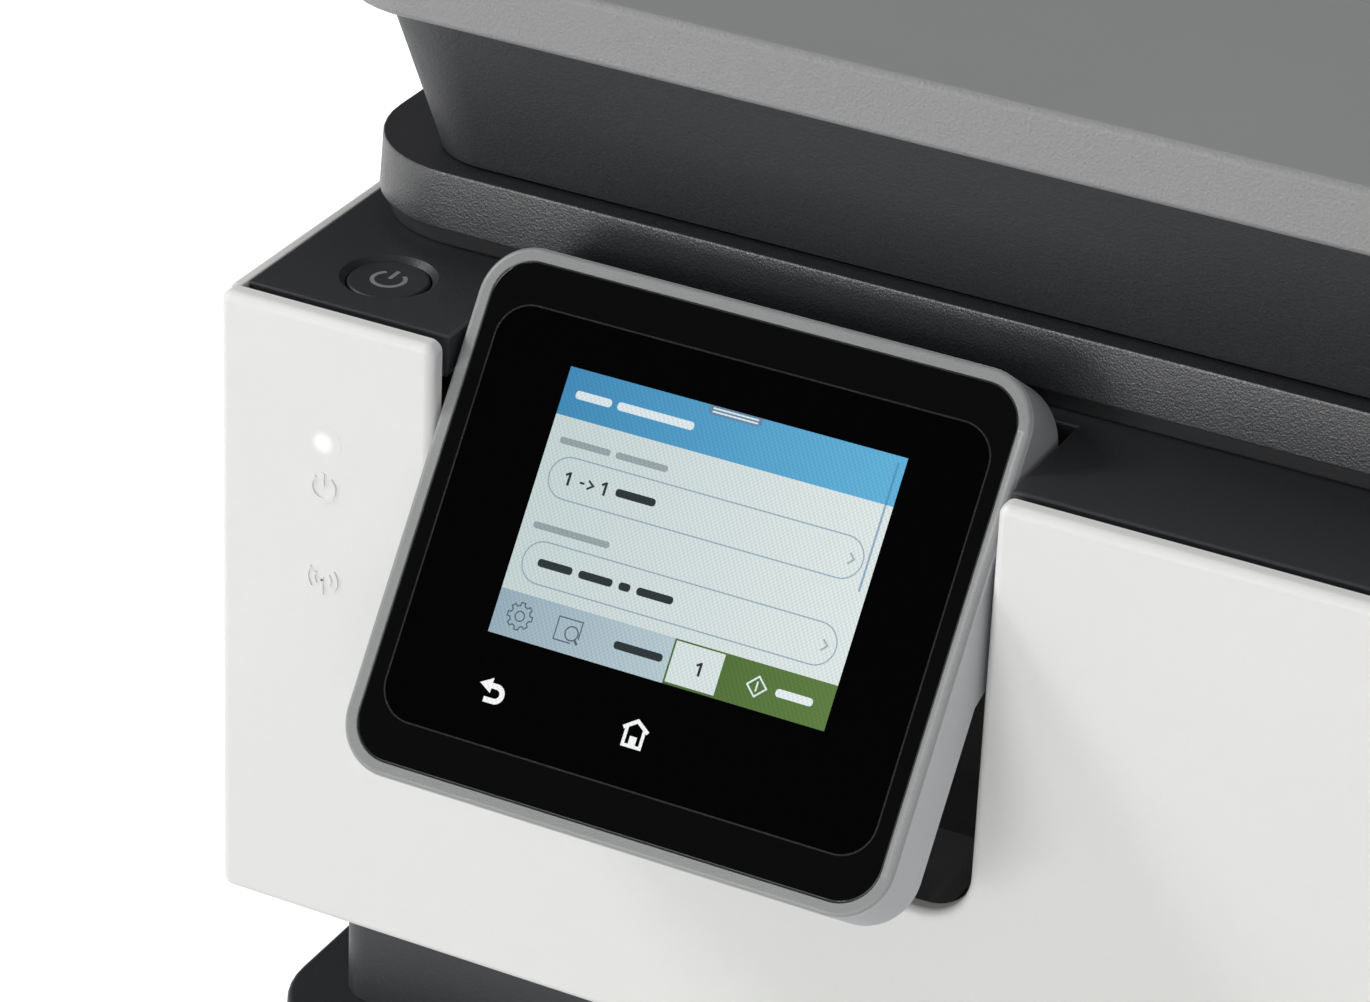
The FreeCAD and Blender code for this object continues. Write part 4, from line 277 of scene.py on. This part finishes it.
# Touch film over the display: the deepest black on the printer
touch_film = moulded("black_touch_film", "#020202", 0.5, 0.002, 0.12, 0.02, 0.02)
shine(touch_film, 0.10)
# Grey print on the dark button
grey_print = moulded("grey_print", "#8A8A8D", 0.3, 0.004, 0.5, 0.02, 0.02)

# Colours of the display, left end and right end
sky_header = lit("display_header_blue", "#4189B6", "#62B0D7")
header_tab = lit("display_header_tab", "#5C7F9C", "#6F90AC")
page = lit("display_page", "#C3D1D1", "#DBE5E4")
row_line = lit("display_row_line", "#92A5B3", "#9CAFBD")
scroll_line = lit("display_scroll_line", "#8FA5BF", "#94AAC4")
header_scroll = lit("display_header_scroll", "#4C8DB6", "#5196BF")
footer = lit("display_footer", "#95ACB8", "#CBDBE0")
start_green = lit("display_green", "#3A5126", "#5D7C42")
box_white = lit("display_box_white", "#C8D5D6", "#DCE6E5")
ink_text = lit("display_dark_text", "#2E3638")
icon_line = lit("display_icon_line", "#56666F", "#5E6E77")
grey_text = lit("display_grey_text", "#93A0A3", "#9EABAE")
white_text = lit("display_white_text", "#D6E2E6", "#E2ECEE")
key_light = lit("lit_key_white", "#F4F5F6")


# Pieces that keep the CAD's shape, with merged and shaded surfaces

# Edges that turn by more than this stay sharp
SHARP = math.radians(32)
SLOT_OF = {s["node"]: s["material_slot"] for s in frame["record"]["subparts"]}
BODY_OF = {node: body for body, nodes in frame["record"]["behaviour"]["bodies"].items() for node in nodes}


def placed(name, mesh, finishes, body, slot, *nodes):
    """Makes a mesh a piece of the printer: its finish, the body it rides on, and the CAD it stands for."""
    piece = bpy.data.objects.new(name, mesh)
    bpy.context.scene.collection.objects.link(piece)
    for finish in finishes:
        mesh.materials.append(finish)
    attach(piece, body)
    if nodes:
        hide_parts(*nodes)
    return piece


def soften(shape, width):
    """Rounds a shape's sharp outer edges a little, as moulded edges are."""
    middle = sum((corner.co for corner in shape.verts), Vector()) / len(shape.verts)
    edges = []
    for edge in shape.edges:
        if edge.is_manifold and edge.calc_face_angle_signed(0.0) > math.radians(40):
            out = (edge.verts[0].co + edge.verts[1].co) / 2 - middle
            if all(face.normal.dot(out) > 0 for face in edge.link_faces):
                edges.append(edge)
    bmesh.ops.bevel(shape, geom=edges, offset=width * MM, offset_type="OFFSET", segments=2, profile=0.5,
                    affect="EDGES", clamp_overlap=False)


def dressed(node, finish, other=None, takes_other=None):
    """A CAD piece with merged corners, flat faces and smooth rounds; some faces may take another finish."""
    mesh = frame["nodes"][node].data.copy()
    mesh.name = node + "_skin"
    mesh.materials.clear()
    shape = bmesh.new()
    shape.from_mesh(mesh)
    bmesh.ops.remove_doubles(shape, verts=shape.verts, dist=2e-6)
    bmesh.ops.dissolve_limit(shape, angle_limit=math.radians(0.4), verts=shape.verts, edges=shape.edges)
    if node in SOFT_EDGE:
        soften(shape, SOFT_EDGE[node])
    for face in shape.faces:
        face.smooth = True
        face.material_index = 1 if other and takes_other(face) else 0
    shape.to_mesh(mesh)
    shape.free()
    mesh.set_sharp_from_angle(angle=SHARP)
    finishes = [finish, other] if other else [finish]
    piece = placed(node + "_skin", mesh, finishes, BODY_OF[node], SLOT_OF[node], node)
    weigh = piece.modifiers.new("flat faces", "WEIGHTED_NORMAL")
    weigh.keep_sharp = True


FINISH_OF = {
    "dark_plastic": deck_abs, "rubber": rubber, "white_plastic": white_abs, "screw_steel": black_zinc,
    "sheet_steel": zinc_sheet, "polished_steel": ground_rod, "gear_plastic": acetal,
    "motor_can": plated_can, "inner_grey": inner_abs, "black_plastic": black_gloss,
    "ink_black": ink_black, "ink_cyan": ink_cyan, "ink_magenta": ink_magenta, "ink_yellow": ink_yellow,
    "circuit_board": solder_mask, "socket_metal": tinned, "supply_case": supply_abs,
    "scan_glass": float_glass, "pad_white": pad_sheet, "slab_plastic": slab_abs,
    "panel_silver": silver_paint, "touch_glass": cover_glass, "display": black_gloss,
    "panel_grey": housing_abs,
}


def housing_grey_and_painted_highlight(face):
    """Faces of the panel's frame behind its silver front, which are grey like the housing; on the rounded edge
    this lighter grey is a painted highlight.
    """
    return (ON_PANEL.inverted() @ (face.calc_center_median() / MM)).y > FRAME_ROUND_END


def glass_round(face):
    """Faces round the glass's front edge, which take the lighter edge finish as a painted glint."""
    return (ON_PANEL.inverted() @ (face.calc_center_median() / MM)).y > GLASS_FRONT + 0.03


# Height of the scanner's grained rim, with a little to spare, in mm; faces below it take the foot's painted
# shade
RIM_BAND = 9.7
RIM_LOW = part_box("scanner_base")[1].z - RIM_BAND * MM
# How far each piece's outer edges are rounded, in mm
SOFT_EDGE = {"scanner_base": 0.5, "lid_cover": 0.3, "base_shell": 0.4, "neck_frame": 0.3,
             "left_side_panel": 0.25, "right_side_panel": 0.25, "rear_panel": 0.3, "rear_door": 0.25,
             "feeder_cover": 0.3, "document_tray": 0.3}
# Pieces with a finish of their own, and the faces of some that take a second one
SPECIAL = {
    # Faces of the scanner base low under its rim take the foot's darkened colour: painted shade
    "scanner_base": (rim_abs, foot_painted_shade, lambda face: face.calc_center_median().z < RIM_LOW),
    "lid_shell": (lid_abs,),
    # The slab's faces that look up take the darker grey, which is painted shade
    "lid_cover": (slab_abs, fine_grey_painted_shade, lambda face: face.normal.z > 0.95),
    "feeder_cover": (fine_grey_painted_shade,),
    "document_tray": (fine_grey_painted_shade,),
    "panel_frame": (silver_paint, housing_abs, housing_grey_and_painted_highlight),
    "panel_glass": (cover_glass, polished_edge_painted_glint, glass_round),
    "door_inner_panel": (recess_black,),
}
for node in frame["nodes"]:
    dressed(node, *SPECIAL.get(node, (FINISH_OF[SLOT_OF[node]],)))


# Flat drawings

def arc(x, y, r, start, end, steps=24):
    """Points round part of a circle, angles in degrees."""
    turn = [math.radians(start + (end - start) * i / steps) for i in range(steps + 1)]
    return [(x + r * math.cos(t), y + r * math.sin(t)) for t in turn]


def rounded(x0, y0, x1, y1, r, steps=8):
    """Points round a box with rounded corners."""
    return (arc(x1 - r, y1 - r, r, 0, 90, steps) + arc(x0 + r, y1 - r, r, 90, 180, steps)
            + arc(x0 + r, y0 + r, r, 180, 270, steps) + arc(x1 - r, y0 + r, r, 270, 360, steps))


def line(points, width, closed=False):
    """A line of that width along points, as four-sided patches with mitred joints."""
    points = [Vector(p) for p in points]
    if closed and (points[0] - points[-1]).length < 1e-6:
        points.pop()
    count = len(points)
    sides = []
    for i, here in enumerate(points):
        back = points[i - 1] if closed or i else None
        ahead = points[(i + 1) % count] if closed or i < count - 1 else None
        way_in = (here - back).normalized() if back is not None else None
        way_out = (ahead - here).normalized() if ahead is not None else None
        way_in, way_out = way_in or way_out, way_out or way_in
        mean = (way_in + way_out).normalized()
        across = Vector((-mean.y, mean.x)) * (width / 2 / max(0.35, mean.dot(way_in)))
        sides.append((here + across, here - across))
    pairs = [(i, (i + 1) % count) for i in range(count if closed else count - 1)]
    return [[sides[i][0], sides[j][0], sides[j][1], sides[i][1]] for i, j in pairs]


def drawn(name, layers, place, body, slot, floor=-0.02):
    """Thin raised shapes on a surface: each layer has a finish, a height in mm and its outlines."""
    shape = bmesh.new()
    finishes = []
    for finish, height, outlines in layers:
        if finish not in finishes:
            finishes.append(finish)
        for outline in outlines:
            rings = [[shape.verts.new(place @ Vector((p[0], p[1], level))) for p in outline]
                     for level in (height, floor)]
            faces = [shape.faces.new(rings[0]), shape.faces.new(rings[1][::-1])]
            for i in range(len(outline)):
                j = (i + 1) % len(outline)
                faces.append(shape.faces.new((rings[0][i], rings[1][i], rings[1][j], rings[0][j])))
            for face in faces:
                face.material_index = finishes.index(finish)
            bmesh.ops.recalc_face_normals(shape, faces=faces)
    mesh = bpy.data.meshes.new(name)
    shape.to_mesh(mesh)
    shape.free()
    mesh.transform(Matrix.Scale(MM, 4))
    placed(name, mesh, finishes, body, slot)


# The drawing plane of each surface: x to the right, y up the surface, z out of it
ON_GLASS = ON_PANEL @ Matrix.Translation((0, GLASS_FRONT, 0)) @ Matrix.Rotation(math.radians(90), 4, "X")
ON_DISPLAY = ON_GLASS @ Matrix.Translation((DISPLAY_LEFT, DISPLAY_TOP, 0))
ON_DOOR = Matrix.Translation((0, DOOR_FRONT, 0)) @ Matrix.Rotation(math.radians(90), 4, "X")


def words(x, y, height, lengths, gap=0.7):
    """A line of plain rounded bars where a line of text would be."""
    bars = []
    for length in lengths:
        bars.append(rounded(x, y - height / 2, x + length, y + height / 2, height * 0.42, 4))
        x += length + gap
    return bars


def box(x0, y0, x1, y1):
    """The corners of a box."""
    return [(x0, y0), (x1, y0), (x1, y1), (x0, y1)]


def chevron(x, y, reach):
    """An arrow head that points right."""
    return line([(x - reach / 2, y + reach), (x + reach / 2, y), (x - reach / 2, y - reach)], 0.26)


def figure_one(x, y, height):
    """The plain figure 1, its middle at x, y."""
    foot, top = y - height / 2, y + height / 2
    return [[(x - 0.05, foot), (x + 0.35, foot), (x + 0.35, top), (x + 0.05, top), (x - 0.6, top - 0.42),
             (x - 0.45, top - 0.74), (x - 0.05, top - 0.5)]]


def gear_icon(x, y):
    """A gear of eight teeth in outline."""
    rim = []
    for tooth in range(8):
        for turn, r in ((-14, 1.60), (-9, 2.05), (9, 2.05), (14, 1.60)):
            at = math.radians(tooth * 45 + turn)
            rim.append((x + r * math.cos(at), y + r * math.sin(at)))
    return line(rim, 0.2, True) + line(arc(x, y, 0.75, 0, 360), 0.2, True)


def preview_icon(x, y):
    """A page with a magnifier on its corner."""
    return (line([(x + 0.9, y - 1.72), (x - 1.95, y - 1.72), (x - 1.95, y + 1.72), (x + 1.95, y + 1.72),
                  (x + 1.95, y - 0.9)], 0.2)
            + line(arc(x + 0.65, y - 0.3, 1.05, 0, 360), 0.22, True)
            + line([(x + 1.35, y - 1.05), (x + 1.95, y - 1.7)], 0.4))


# What the display shows, in mm from its upper left corner
HEADER_LOW, FOOTER_TOP = -7.3, -34.1
FOOTER_MIDDLE = (FOOTER_TOP - DISPLAY_H) / 2
ROW_H = 6.35
ROW_MIDDLES = (-16.1, -29.1)
BOX_LEFT, BOX_RIGHT = 28.9, 37.15
picture = [
    (page, 0.04, [box(0, FOOTER_TOP, DISPLAY_W, HEADER_LOW)]),
    (sky_header, 0.04, [box(0, HEADER_LOW, DISPLAY_W, 0)]),
    (footer, 0.04, [box(0, -DISPLAY_H, BOX_LEFT, FOOTER_TOP)]),
    (start_green, 0.04, [box(BOX_LEFT, -DISPLAY_H, DISPLAY_W, FOOTER_TOP)]),
    (box_white, 0.05, [box(BOX_LEFT + 0.3, -DISPLAY_H + 0.35, BOX_RIGHT, FOOTER_TOP - 0.25)]),
    (header_tab, 0.05, [[(23.1, 0), (31.85, 0), (31.85, -0.9), (31.35, -1.4), (23.6, -1.4), (23.1, -0.9)]]),
    (white_text, 0.06, [box(23.8, -0.52, 31.2, -0.28), box(23.8, -1.02, 31.2, -0.78)]),
    (white_text, 0.05, words(2.1, -3.8, 1.25, (6.0, 12.65), 0.95)),
    (grey_text, 0.05, words(1.85, -10.85, 1.0, (8.4, 8.6), 0.9)),
    (grey_text, 0.05, words(1.85, -23.9, 1.0, (12.65,))),
    (header_scroll, 0.05, [box(53.68, HEADER_LOW, 54.02, -1.0)]),
    (scroll_line, 0.05, [box(53.68, -20.3, 54.02, HEADER_LOW)]),
]
for middle in ROW_MIDDLES:
    row = rounded(1.85, middle - ROW_H / 2, 53.1, middle + ROW_H / 2, ROW_H / 2 - 0.01)
    picture.append((row_line, 0.05, line(row, 0.2, True)))
    picture.append((grey_text, 0.05, chevron(51.3, middle, 0.82)))
first, second = ROW_MIDDLES
picture += [
    (ink_text, 0.05, figure_one(5.0, first, 2.05) + figure_one(11.0, first, 2.05)
     + line([(6.95, first - 0.1), (7.75, first - 0.1)], 0.32)
     + line([(8.3, first + 0.55), (9.2, first - 0.1), (8.3, first - 0.75)], 0.32)
     + words(12.9, first, 1.2, (6.6,))),
    (ink_text, 0.05, words(4.35, second, 1.2, (5.75, 5.6, 1.9, 6.0), 1.05)),
    (icon_line, 0.05, gear_icon(4.2, FOOTER_MIDDLE) + preview_icon(12.28, FOOTER_MIDDLE)),
    (ink_text, 0.05, words(19.85, FOOTER_MIDDLE, 1.2, (8.0,))),
    (ink_text, 0.06, figure_one(33.8, FOOTER_MIDDLE, 2.05)),
    (white_text, 0.05, line([(41.6, FOOTER_MIDDLE), (43.15, FOOTER_MIDDLE + 1.5), (44.7, FOOTER_MIDDLE),
                             (43.15, FOOTER_MIDDLE - 1.5)], 0.26, True)
     + line([(43.15, FOOTER_MIDDLE + 0.75), (43.15, FOOTER_MIDDLE - 0.75)], 0.26)
     + words(46.2, FOOTER_MIDDLE, 1.2, (5.95,))),
]
drawn("display_picture", picture, ON_DISPLAY, "control_panel", "display")

# The two lit keys under the display: an arrow back and a house
back_key = (line([(-23.6, -34.77)] + arc(-22.6, -35.87, 1.1, 90, -90) + [(-24.23, -36.97)], 0.82)
            + [[(-25.47, -34.77), (-23.47, -33.62), (-23.47, -35.92)]])
home_x = 0.42
home_key = (line([(home_x - 2.0, -34.95), (home_x, -33.6), (home_x + 2.0, -34.95)], 0.58)
            + line([(home_x - 1.4, -34.5), (home_x - 1.4, -37.4),
                    (home_x + 1.4, -37.4), (home_x + 1.4, -34.5)], 0.5)
            + [box(home_x - 0.57, -37.4, home_x + 0.57, -35.93)])
drawn("lit_keys", [(key_light, 0.05, back_key + home_key)], ON_GLASS, "control_panel", "display")

# The touch area: a deeper black film with a fine edge line, whose lighter grey is partly a painted glint
film_edge = rounded(-40.25, -43.65, 40.35, 20.9, 5.5, 12)
drawn("touch_area", [(touch_film, 0.02, [film_edge]), (polished_edge_painted_glint, 0.03, line(film_edge, 0.26, True))],
      ON_GLASS, "control_panel", "touch_glass")


# Signs on the door and button

def power_sign(x, y, r, width):
    """An open ring with a stroke at its top."""
    return line(arc(x, y, r, 128, 412), width) + line([(x, y + r * 1.22), (x, y + r * 0.1)], width)


def radio_sign(x, y, size, width):
    """A mast with two waves on each side."""
    waves = [line(arc(x, y, size * share, start, end, 10), width)
             for share in (0.55, 1.0) for start, end in ((-42, 42), (138, 222))]
    mast = line([(x, y), (x, y - size * 1.05)], width)
    return [patch for wave in waves for patch in wave] + mast + [arc(x, y, width * 0.8, 0, 345, 14)]


SIGN_FROM_SIDE, POWER_DROP, RADIO_DROP = 18.4, 28.45, 44.3
SIGN_X = BODY_LEFT + SIGN_FROM_SIDE
door_signs = (power_sign(SIGN_X, DOOR_TOP - POWER_DROP, 2.05, 0.55)
              + radio_sign(SIGN_X, DOOR_TOP - RADIO_DROP, 2.6, 0.42))
drawn("raised_door_signs", [(white_abs, 0.22, door_signs)], ON_DOOR, "door", "white_plastic", -0.1)

button_low, button_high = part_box("power_button")
button_x = (button_low.x + button_high.x) / 2 / MM
button_y = (button_low.y + button_high.y) / 2 / MM
ON_BUTTON = Matrix.Translation((0, 0, button_high.z / MM))
drawn("button_sign", [(grey_print, 0.04, power_sign(button_x, button_y, 2.55, 0.68))], ON_BUTTON,
      "power_button", "dark_plastic")

# The status light glows through the door's skin
glow, tree, shader, in_mm = blank_finish("lit_translucent_abs")
LIGHT_FROM_SIDE, LIGHT_DROP, LIGHT_R = 18.35, 20.9, 3.2
LIGHT_PLACE = (BODY_LEFT + LIGHT_FROM_SIDE, DOOR_FRONT, DOOR_TOP - LIGHT_DROP)
gap = add(tree, "ShaderNodeVectorMath", {"operation": "DISTANCE"}, {0: in_mm, 1: LIGHT_PLACE})
fade = add(tree, "ShaderNodeMapRange", {"interpolation_type": "SMOOTHERSTEP"},
           {"Value": gap.outputs["Value"], "From Min": 0.0, "From Max": 2.6, "To Min": 0.32, "To Max": 0.0})
mottle = add(tree, "ShaderNodeTexNoise", None, {"Vector": in_mm, "Scale": 2.0, "Detail": 2.0})
sheen = add(tree, "ShaderNodeMapRange", None,
            {"Value": mottle.outputs["Fac"], "To Min": 0.40, "To Max": 0.52})
tree.links.new(fade.outputs[0], shader.inputs["Emission Strength"])
tree.links.new(sheen.outputs[0], shader.inputs["Roughness"])
shader.inputs["Emission Color"].default_value = srgb("#FFFFFF")
shader.inputs["Base Color"].default_value = srgb("#E2E2E0")
shader.inputs["IOR"].default_value = 1.5
light_edge = arc(LIGHT_PLACE[0], LIGHT_PLACE[2], LIGHT_R, 0, 352, 44)
drawn("status_light", [(glow, 0.03, [light_edge])], ON_DOOR, "door", "white_plastic")


# Small shapes that repeat along a path

def boxes_along_path():
    """A node tree that sets boxes along a path; its inputs give their number, size and finish."""
    tree = bpy.data.node_groups.new("boxes_along_path", "GeometryNodeTree")
    for name, kind in (("Path", "Geometry"), ("Count", "Int"), ("Size", "Vector"), ("Finish", "Material")):
        tree.interface.new_socket(name, in_out="INPUT", socket_type="NodeSocket" + kind)
    tree.interface.new_socket("Boxes", in_out="OUTPUT", socket_type="NodeSocketGeometry")
    given = add(tree, "NodeGroupInput").outputs
    curve = add(tree, "GeometryNodeMeshToCurve", None, {"Mesh": given["Path"]})
    spots = add(tree, "GeometryNodeCurveToPoints", {"mode": "COUNT"},
                {"Curve": curve.outputs[0], "Count": given["Count"]})
    turned = add(tree, "FunctionNodeAlignRotationToVector", {"axis": "Z"},
                 {"Vector": spots.outputs["Tangent"]})
    unit = add(tree, "GeometryNodeMeshCube", None, {"Size": given["Size"]})
    copies = add(tree, "GeometryNodeInstanceOnPoints", None,
                 {"Points": spots.outputs["Points"], "Instance": unit.outputs["Mesh"],
                  "Rotation": turned.outputs[0]})
    whole = add(tree, "GeometryNodeRealizeInstances", None, {"Geometry": copies.outputs[0]})
    painted = add(tree, "GeometryNodeSetMaterial", None,
                  {"Geometry": whole.outputs[0], "Material": given["Finish"]})
    add(tree, "NodeGroupOutput", None, {"Boxes": painted.outputs[0]})
    return tree


ALONG_PATH = boxes_along_path()


def repeated(name, points, closed, count, size, finish, body, slot):
    """Boxes of that size in mm along the points: z runs along the path."""
    path = bpy.data.meshes.new(name + "_path")
    links = [(i, i + 1) for i in range(len(points) - 1)] + ([(len(points) - 1, 0)] if closed else [])
    path.from_pydata([Vector(point) * MM for point in points], links, [])
    guide = bpy.data.objects.new(name + "_path", path)
    bpy.context.scene.collection.objects.link(guide)
    maker = guide.modifiers.new("boxes", "NODES")
    maker.node_group = ALONG_PATH
    values = {"Count": count, "Size": Vector(size) * MM, "Finish": finish}
    for socket in ALONG_PATH.interface.items_tree:
        if socket.in_out == "INPUT" and socket.name in values:
            maker[socket.identifier] = values[socket.name]
    seen = bpy.context.evaluated_depsgraph_get()
    mesh = bpy.data.meshes.new_from_object(guide.evaluated_get(seen))
    mesh.name = name
    mesh.materials.clear()
    bpy.data.objects.remove(guide)
    placed(name, mesh, [finish], body, slot)


def middle_of(node):
    """A piece's middle and half size in mm."""
    node_low, node_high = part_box(node)
    return (node_low + node_high) / 2 / MM, (node_high - node_low) / 2 / MM


# Teeth inside the carriage belt
centre, half = middle_of("carriage_belt")
BELT_THICK, TOOTH_DROP = 1.0, 0.05
tooth_r = half.z - BELT_THICK - TOOTH_DROP
run = half.x - half.z
loop = [(centre.x + run + x, centre.y, centre.z + z) for x, z in arc(0, 0, tooth_r, 90, -90, 12)]
loop += [(centre.x - run + x, centre.y, centre.z + z) for x, z in arc(0, 0, tooth_r, -90, -270, 12)]
repeated("belt_teeth", loop, True, 380, (0.2, 3.6, 1.0), rubber, "housing", "rubber")

# Ribs that carry the paper over the platen, in front of and behind its groove
centre, half = middle_of("platen")
for name, side in (("platen_front_ribs", -1), ("platen_rear_ribs", 1)):
    y = centre.y + side * (half.y + 6.0) / 2
    ends = [(centre.x + share * (half.x - 9.0), y, centre.z + half.z + 0.2) for share in (-1, 1)]
    repeated(name, ends, False, 26, (0.6, half.y - 10.0, 1.0), black_gloss, "housing", "black_plastic")

# Tread on the rubber tyres that pull the paper
centre, half = middle_of("pickup_roller")
for name, x in (("left_pickup_tread", -24.0), ("right_pickup_tread", 24.0)):
    ring = [(x, centre.y + y, centre.z + z) for y, z in arc(0, 0, half.z, 0, 352.5, 47)]
    repeated(name, ring, True, 48, (15.0, 0.2, 0.8), rubber, "pickup_roller", "rubber")
centre, half = middle_of("feeder_roller")
for name, y in (("front_feeder_tread", -36.0), ("middle_feeder_tread", 0.0), ("rear_feeder_tread", 36.0)):
    ring = [(centre.x + x, centre.y + y, centre.z + z) for x, z in arc(0, 0, half.z, 0, 350, 35)]
    repeated(name, ring, True, 36, (0.2, 17.0, 0.7), rubber, "feeder_roller", "rubber")


# The studio: a pale floor, soft lamps, and white behind the printer

def rays(tree):
    """The kinds of ray, and a value that is 1 for what the eye sees directly or through glass."""
    seen = add(tree, "ShaderNodeLightPath").outputs
    straight = add(tree, "ShaderNodeMath", {"operation": "ADD"},
                   {0: seen["Is Camera Ray"], 1: seen["Is Transmission Ray"]})
    return seen, straight.outputs[0]


FLOOR_HALF = 6.0
# The floor shines a little by itself, and more from FAR_START mm out, so that the background stays white
FLOOR_LIFT, FAR_LIFT = 0.55, 0.45
FAR_START, FAR_END = 700.0, 1900.0
floor_mesh = bpy.data.meshes.new("studio_floor")
floor_mesh.from_pydata([(-FLOOR_HALF, -FLOOR_HALF, 0), (FLOOR_HALF, -FLOOR_HALF, 0),
                        (FLOOR_HALF, FLOOR_HALF, 0), (-FLOOR_HALF, FLOOR_HALF, 0)], [], [(0, 1, 2, 3)])
floor = bpy.data.objects.new("studio_floor", floor_mesh)
bpy.context.scene.collection.objects.link(floor)
paper, tree, shader, in_mm = blank_finish("white_studio_paper")
fibre = add(tree, "ShaderNodeTexNoise", None, {"Vector": in_mm, "Scale": 1 / 3, "Detail": 2.0})
sheen = add(tree, "ShaderNodeMapRange", None, {"Value": fibre.outputs["Fac"], "To Min": 0.85, "To Max": 0.95})
tree.links.new(sheen.outputs[0], shader.inputs["Roughness"])
shader.inputs["Base Color"].default_value = srgb("#EFEFEF")
shader.inputs["Specular IOR Level"].default_value = 0.1
seen, straight = rays(tree)
any_view = add(tree, "ShaderNodeMath", {"operation": "ADD", "use_clamp": True},
               {0: straight, 1: seen["Is Glossy Ray"]})
lift = add(tree, "ShaderNodeMath", {"operation": "MULTIPLY"}, {0: any_view.outputs[0], 1: FLOOR_LIFT})
reach = add(tree, "ShaderNodeVectorMath", {"operation": "LENGTH"}, {0: in_mm}).outputs["Value"]
far = add(tree, "ShaderNodeMapRange", {"interpolation_type": "SMOOTHSTEP"},
          {"Value": reach, "From Min": FAR_START, "From Max": FAR_END, "To Min": 0.0, "To Max": FAR_LIFT})
whole = add(tree, "ShaderNodeMath", {"operation": "MULTIPLY_ADD"},
            {0: seen["Is Camera Ray"], 1: far.outputs[0], 2: lift.outputs[0]})
tree.links.new(whole.outputs[0], shader.inputs["Emission Strength"])
shader.inputs["Emission Color"].default_value = srgb("#FFFFFF")
floor_mesh.materials.append(paper)

# The sky is white to the eye and in low reflections from the front, and dim above and behind so that black
# stays black
SKY_UP = (-0.25, 0.20, 1.0)
SKY_LOW, SKY_HIGH = 0.14, 0.38
SKY_DIM, SKY_DIFFUSE = 0.10, 0.27
world = bpy.data.worlds.new("studio_air")
bpy.context.scene.world = world
world.use_nodes = True
tree = world.node_tree
tree.nodes.clear()
seen, straight = rays(tree)
way = add(tree, "ShaderNodeTexCoord").outputs["Generated"]
rise = add(tree, "ShaderNodeVectorMath", {"operation": "DOT_PRODUCT"}, {0: way, 1: SKY_UP}).outputs["Value"]
band = add(tree, "ShaderNodeMapRange", {"interpolation_type": "SMOOTHSTEP"},
           {"Value": rise, "From Min": SKY_LOW, "From Max": SKY_HIGH, "To Min": 1.0, "To Max": SKY_DIM})
mirror = add(tree, "ShaderNodeMath", {"operation": "MULTIPLY"}, {0: seen["Is Glossy Ray"], 1: band.outputs[0]})
white = add(tree, "ShaderNodeMath", {"operation": "MAXIMUM"}, {0: straight, 1: mirror.outputs[0]})
air = add(tree, "ShaderNodeMath", {"operation": "MULTIPLY"}, {0: seen["Is Diffuse Ray"], 1: SKY_DIFFUSE})
level = add(tree, "ShaderNodeMath", {"operation": "ADD"}, {0: white.outputs[0], 1: air.outputs[0]})
sky = add(tree, "ShaderNodeBackground", None, {"Color": srgb("#FFFFFF"), "Strength": level.outputs[0]})
add(tree, "ShaderNodeOutputWorld", None, {"Surface": sky.outputs[0]})


def lamp(name, way, distance, width, height, level):
    """A soft box that far from the printer, which lights a white surface facing it to that level."""
    data = bpy.data.lights.new(name, "AREA")
    data.shape = "RECTANGLE"
    data.size, data.size_y = width, height
    data.energy = level * math.pi ** 2 * distance ** 2
    lamp_object = bpy.data.objects.new(name, data)
    bpy.context.scene.collection.objects.link(lamp_object)
    way = Vector(way).normalized()
    lamp_object.matrix_world = (Matrix.Translation(AIM + way * distance)
                                @ way.to_track_quat("Z", "Y").to_matrix().to_4x4())


# A key from the left, a broad soft front, a low strip for glints, one for the lid and one behind the right side
AIM = Vector((-0.10, -0.10, 0.20))
lamp("left_key", (-0.79, -0.28, 0.54), 2.4, 0.65, 0.65, 0.48)
lamp("front_soft_box", (0.18, -0.97, 0.20), 2.4, 3.4, 1.0, 0.29)
lamp("low_left_strip", (-0.36, -0.93, 0.04), 2.4, 0.9, 0.25, 0.17)
lamp("overhead_soft_box", (0.25, 0.25, 0.94), 2.2, 1.6, 1.6, 0.32)
lamp("rear_right_fill", (0.62, 0.76, 0.18), 2.4, 1.6, 1.0, 0.32)

# The camera stands where the photograph was taken: its place in mm, from the door's face in depth
CAMERA_X, CAMERA_FROM_DOOR, CAMERA_Z = 156.32, 597.44, 574.02
camera_data = bpy.data.cameras.new("camera")
camera_data.sensor_fit = "HORIZONTAL"
camera_data.sensor_width = 36.0
camera_data.lens = 136.80
camera = bpy.data.objects.new("camera", camera_data)
bpy.context.scene.collection.objects.link(camera)
right = Vector((0.88569464, 0.46261443, 0.03915226))
up = Vector((-0.25032192, 0.40482032, 0.87946543))
back = Vector((0.39100377, -0.78873848, 0.47434972))
turn = Matrix((right, up, back)).transposed().to_4x4()
stand = Vector((CAMERA_X, DOOR_FRONT - CAMERA_FROM_DOOR, CAMERA_Z)) * MM
camera.matrix_world = Matrix.Translation(stand) @ turn
bpy.context.scene.camera = camera
bpy.context.scene.view_settings.view_transform = "Standard"
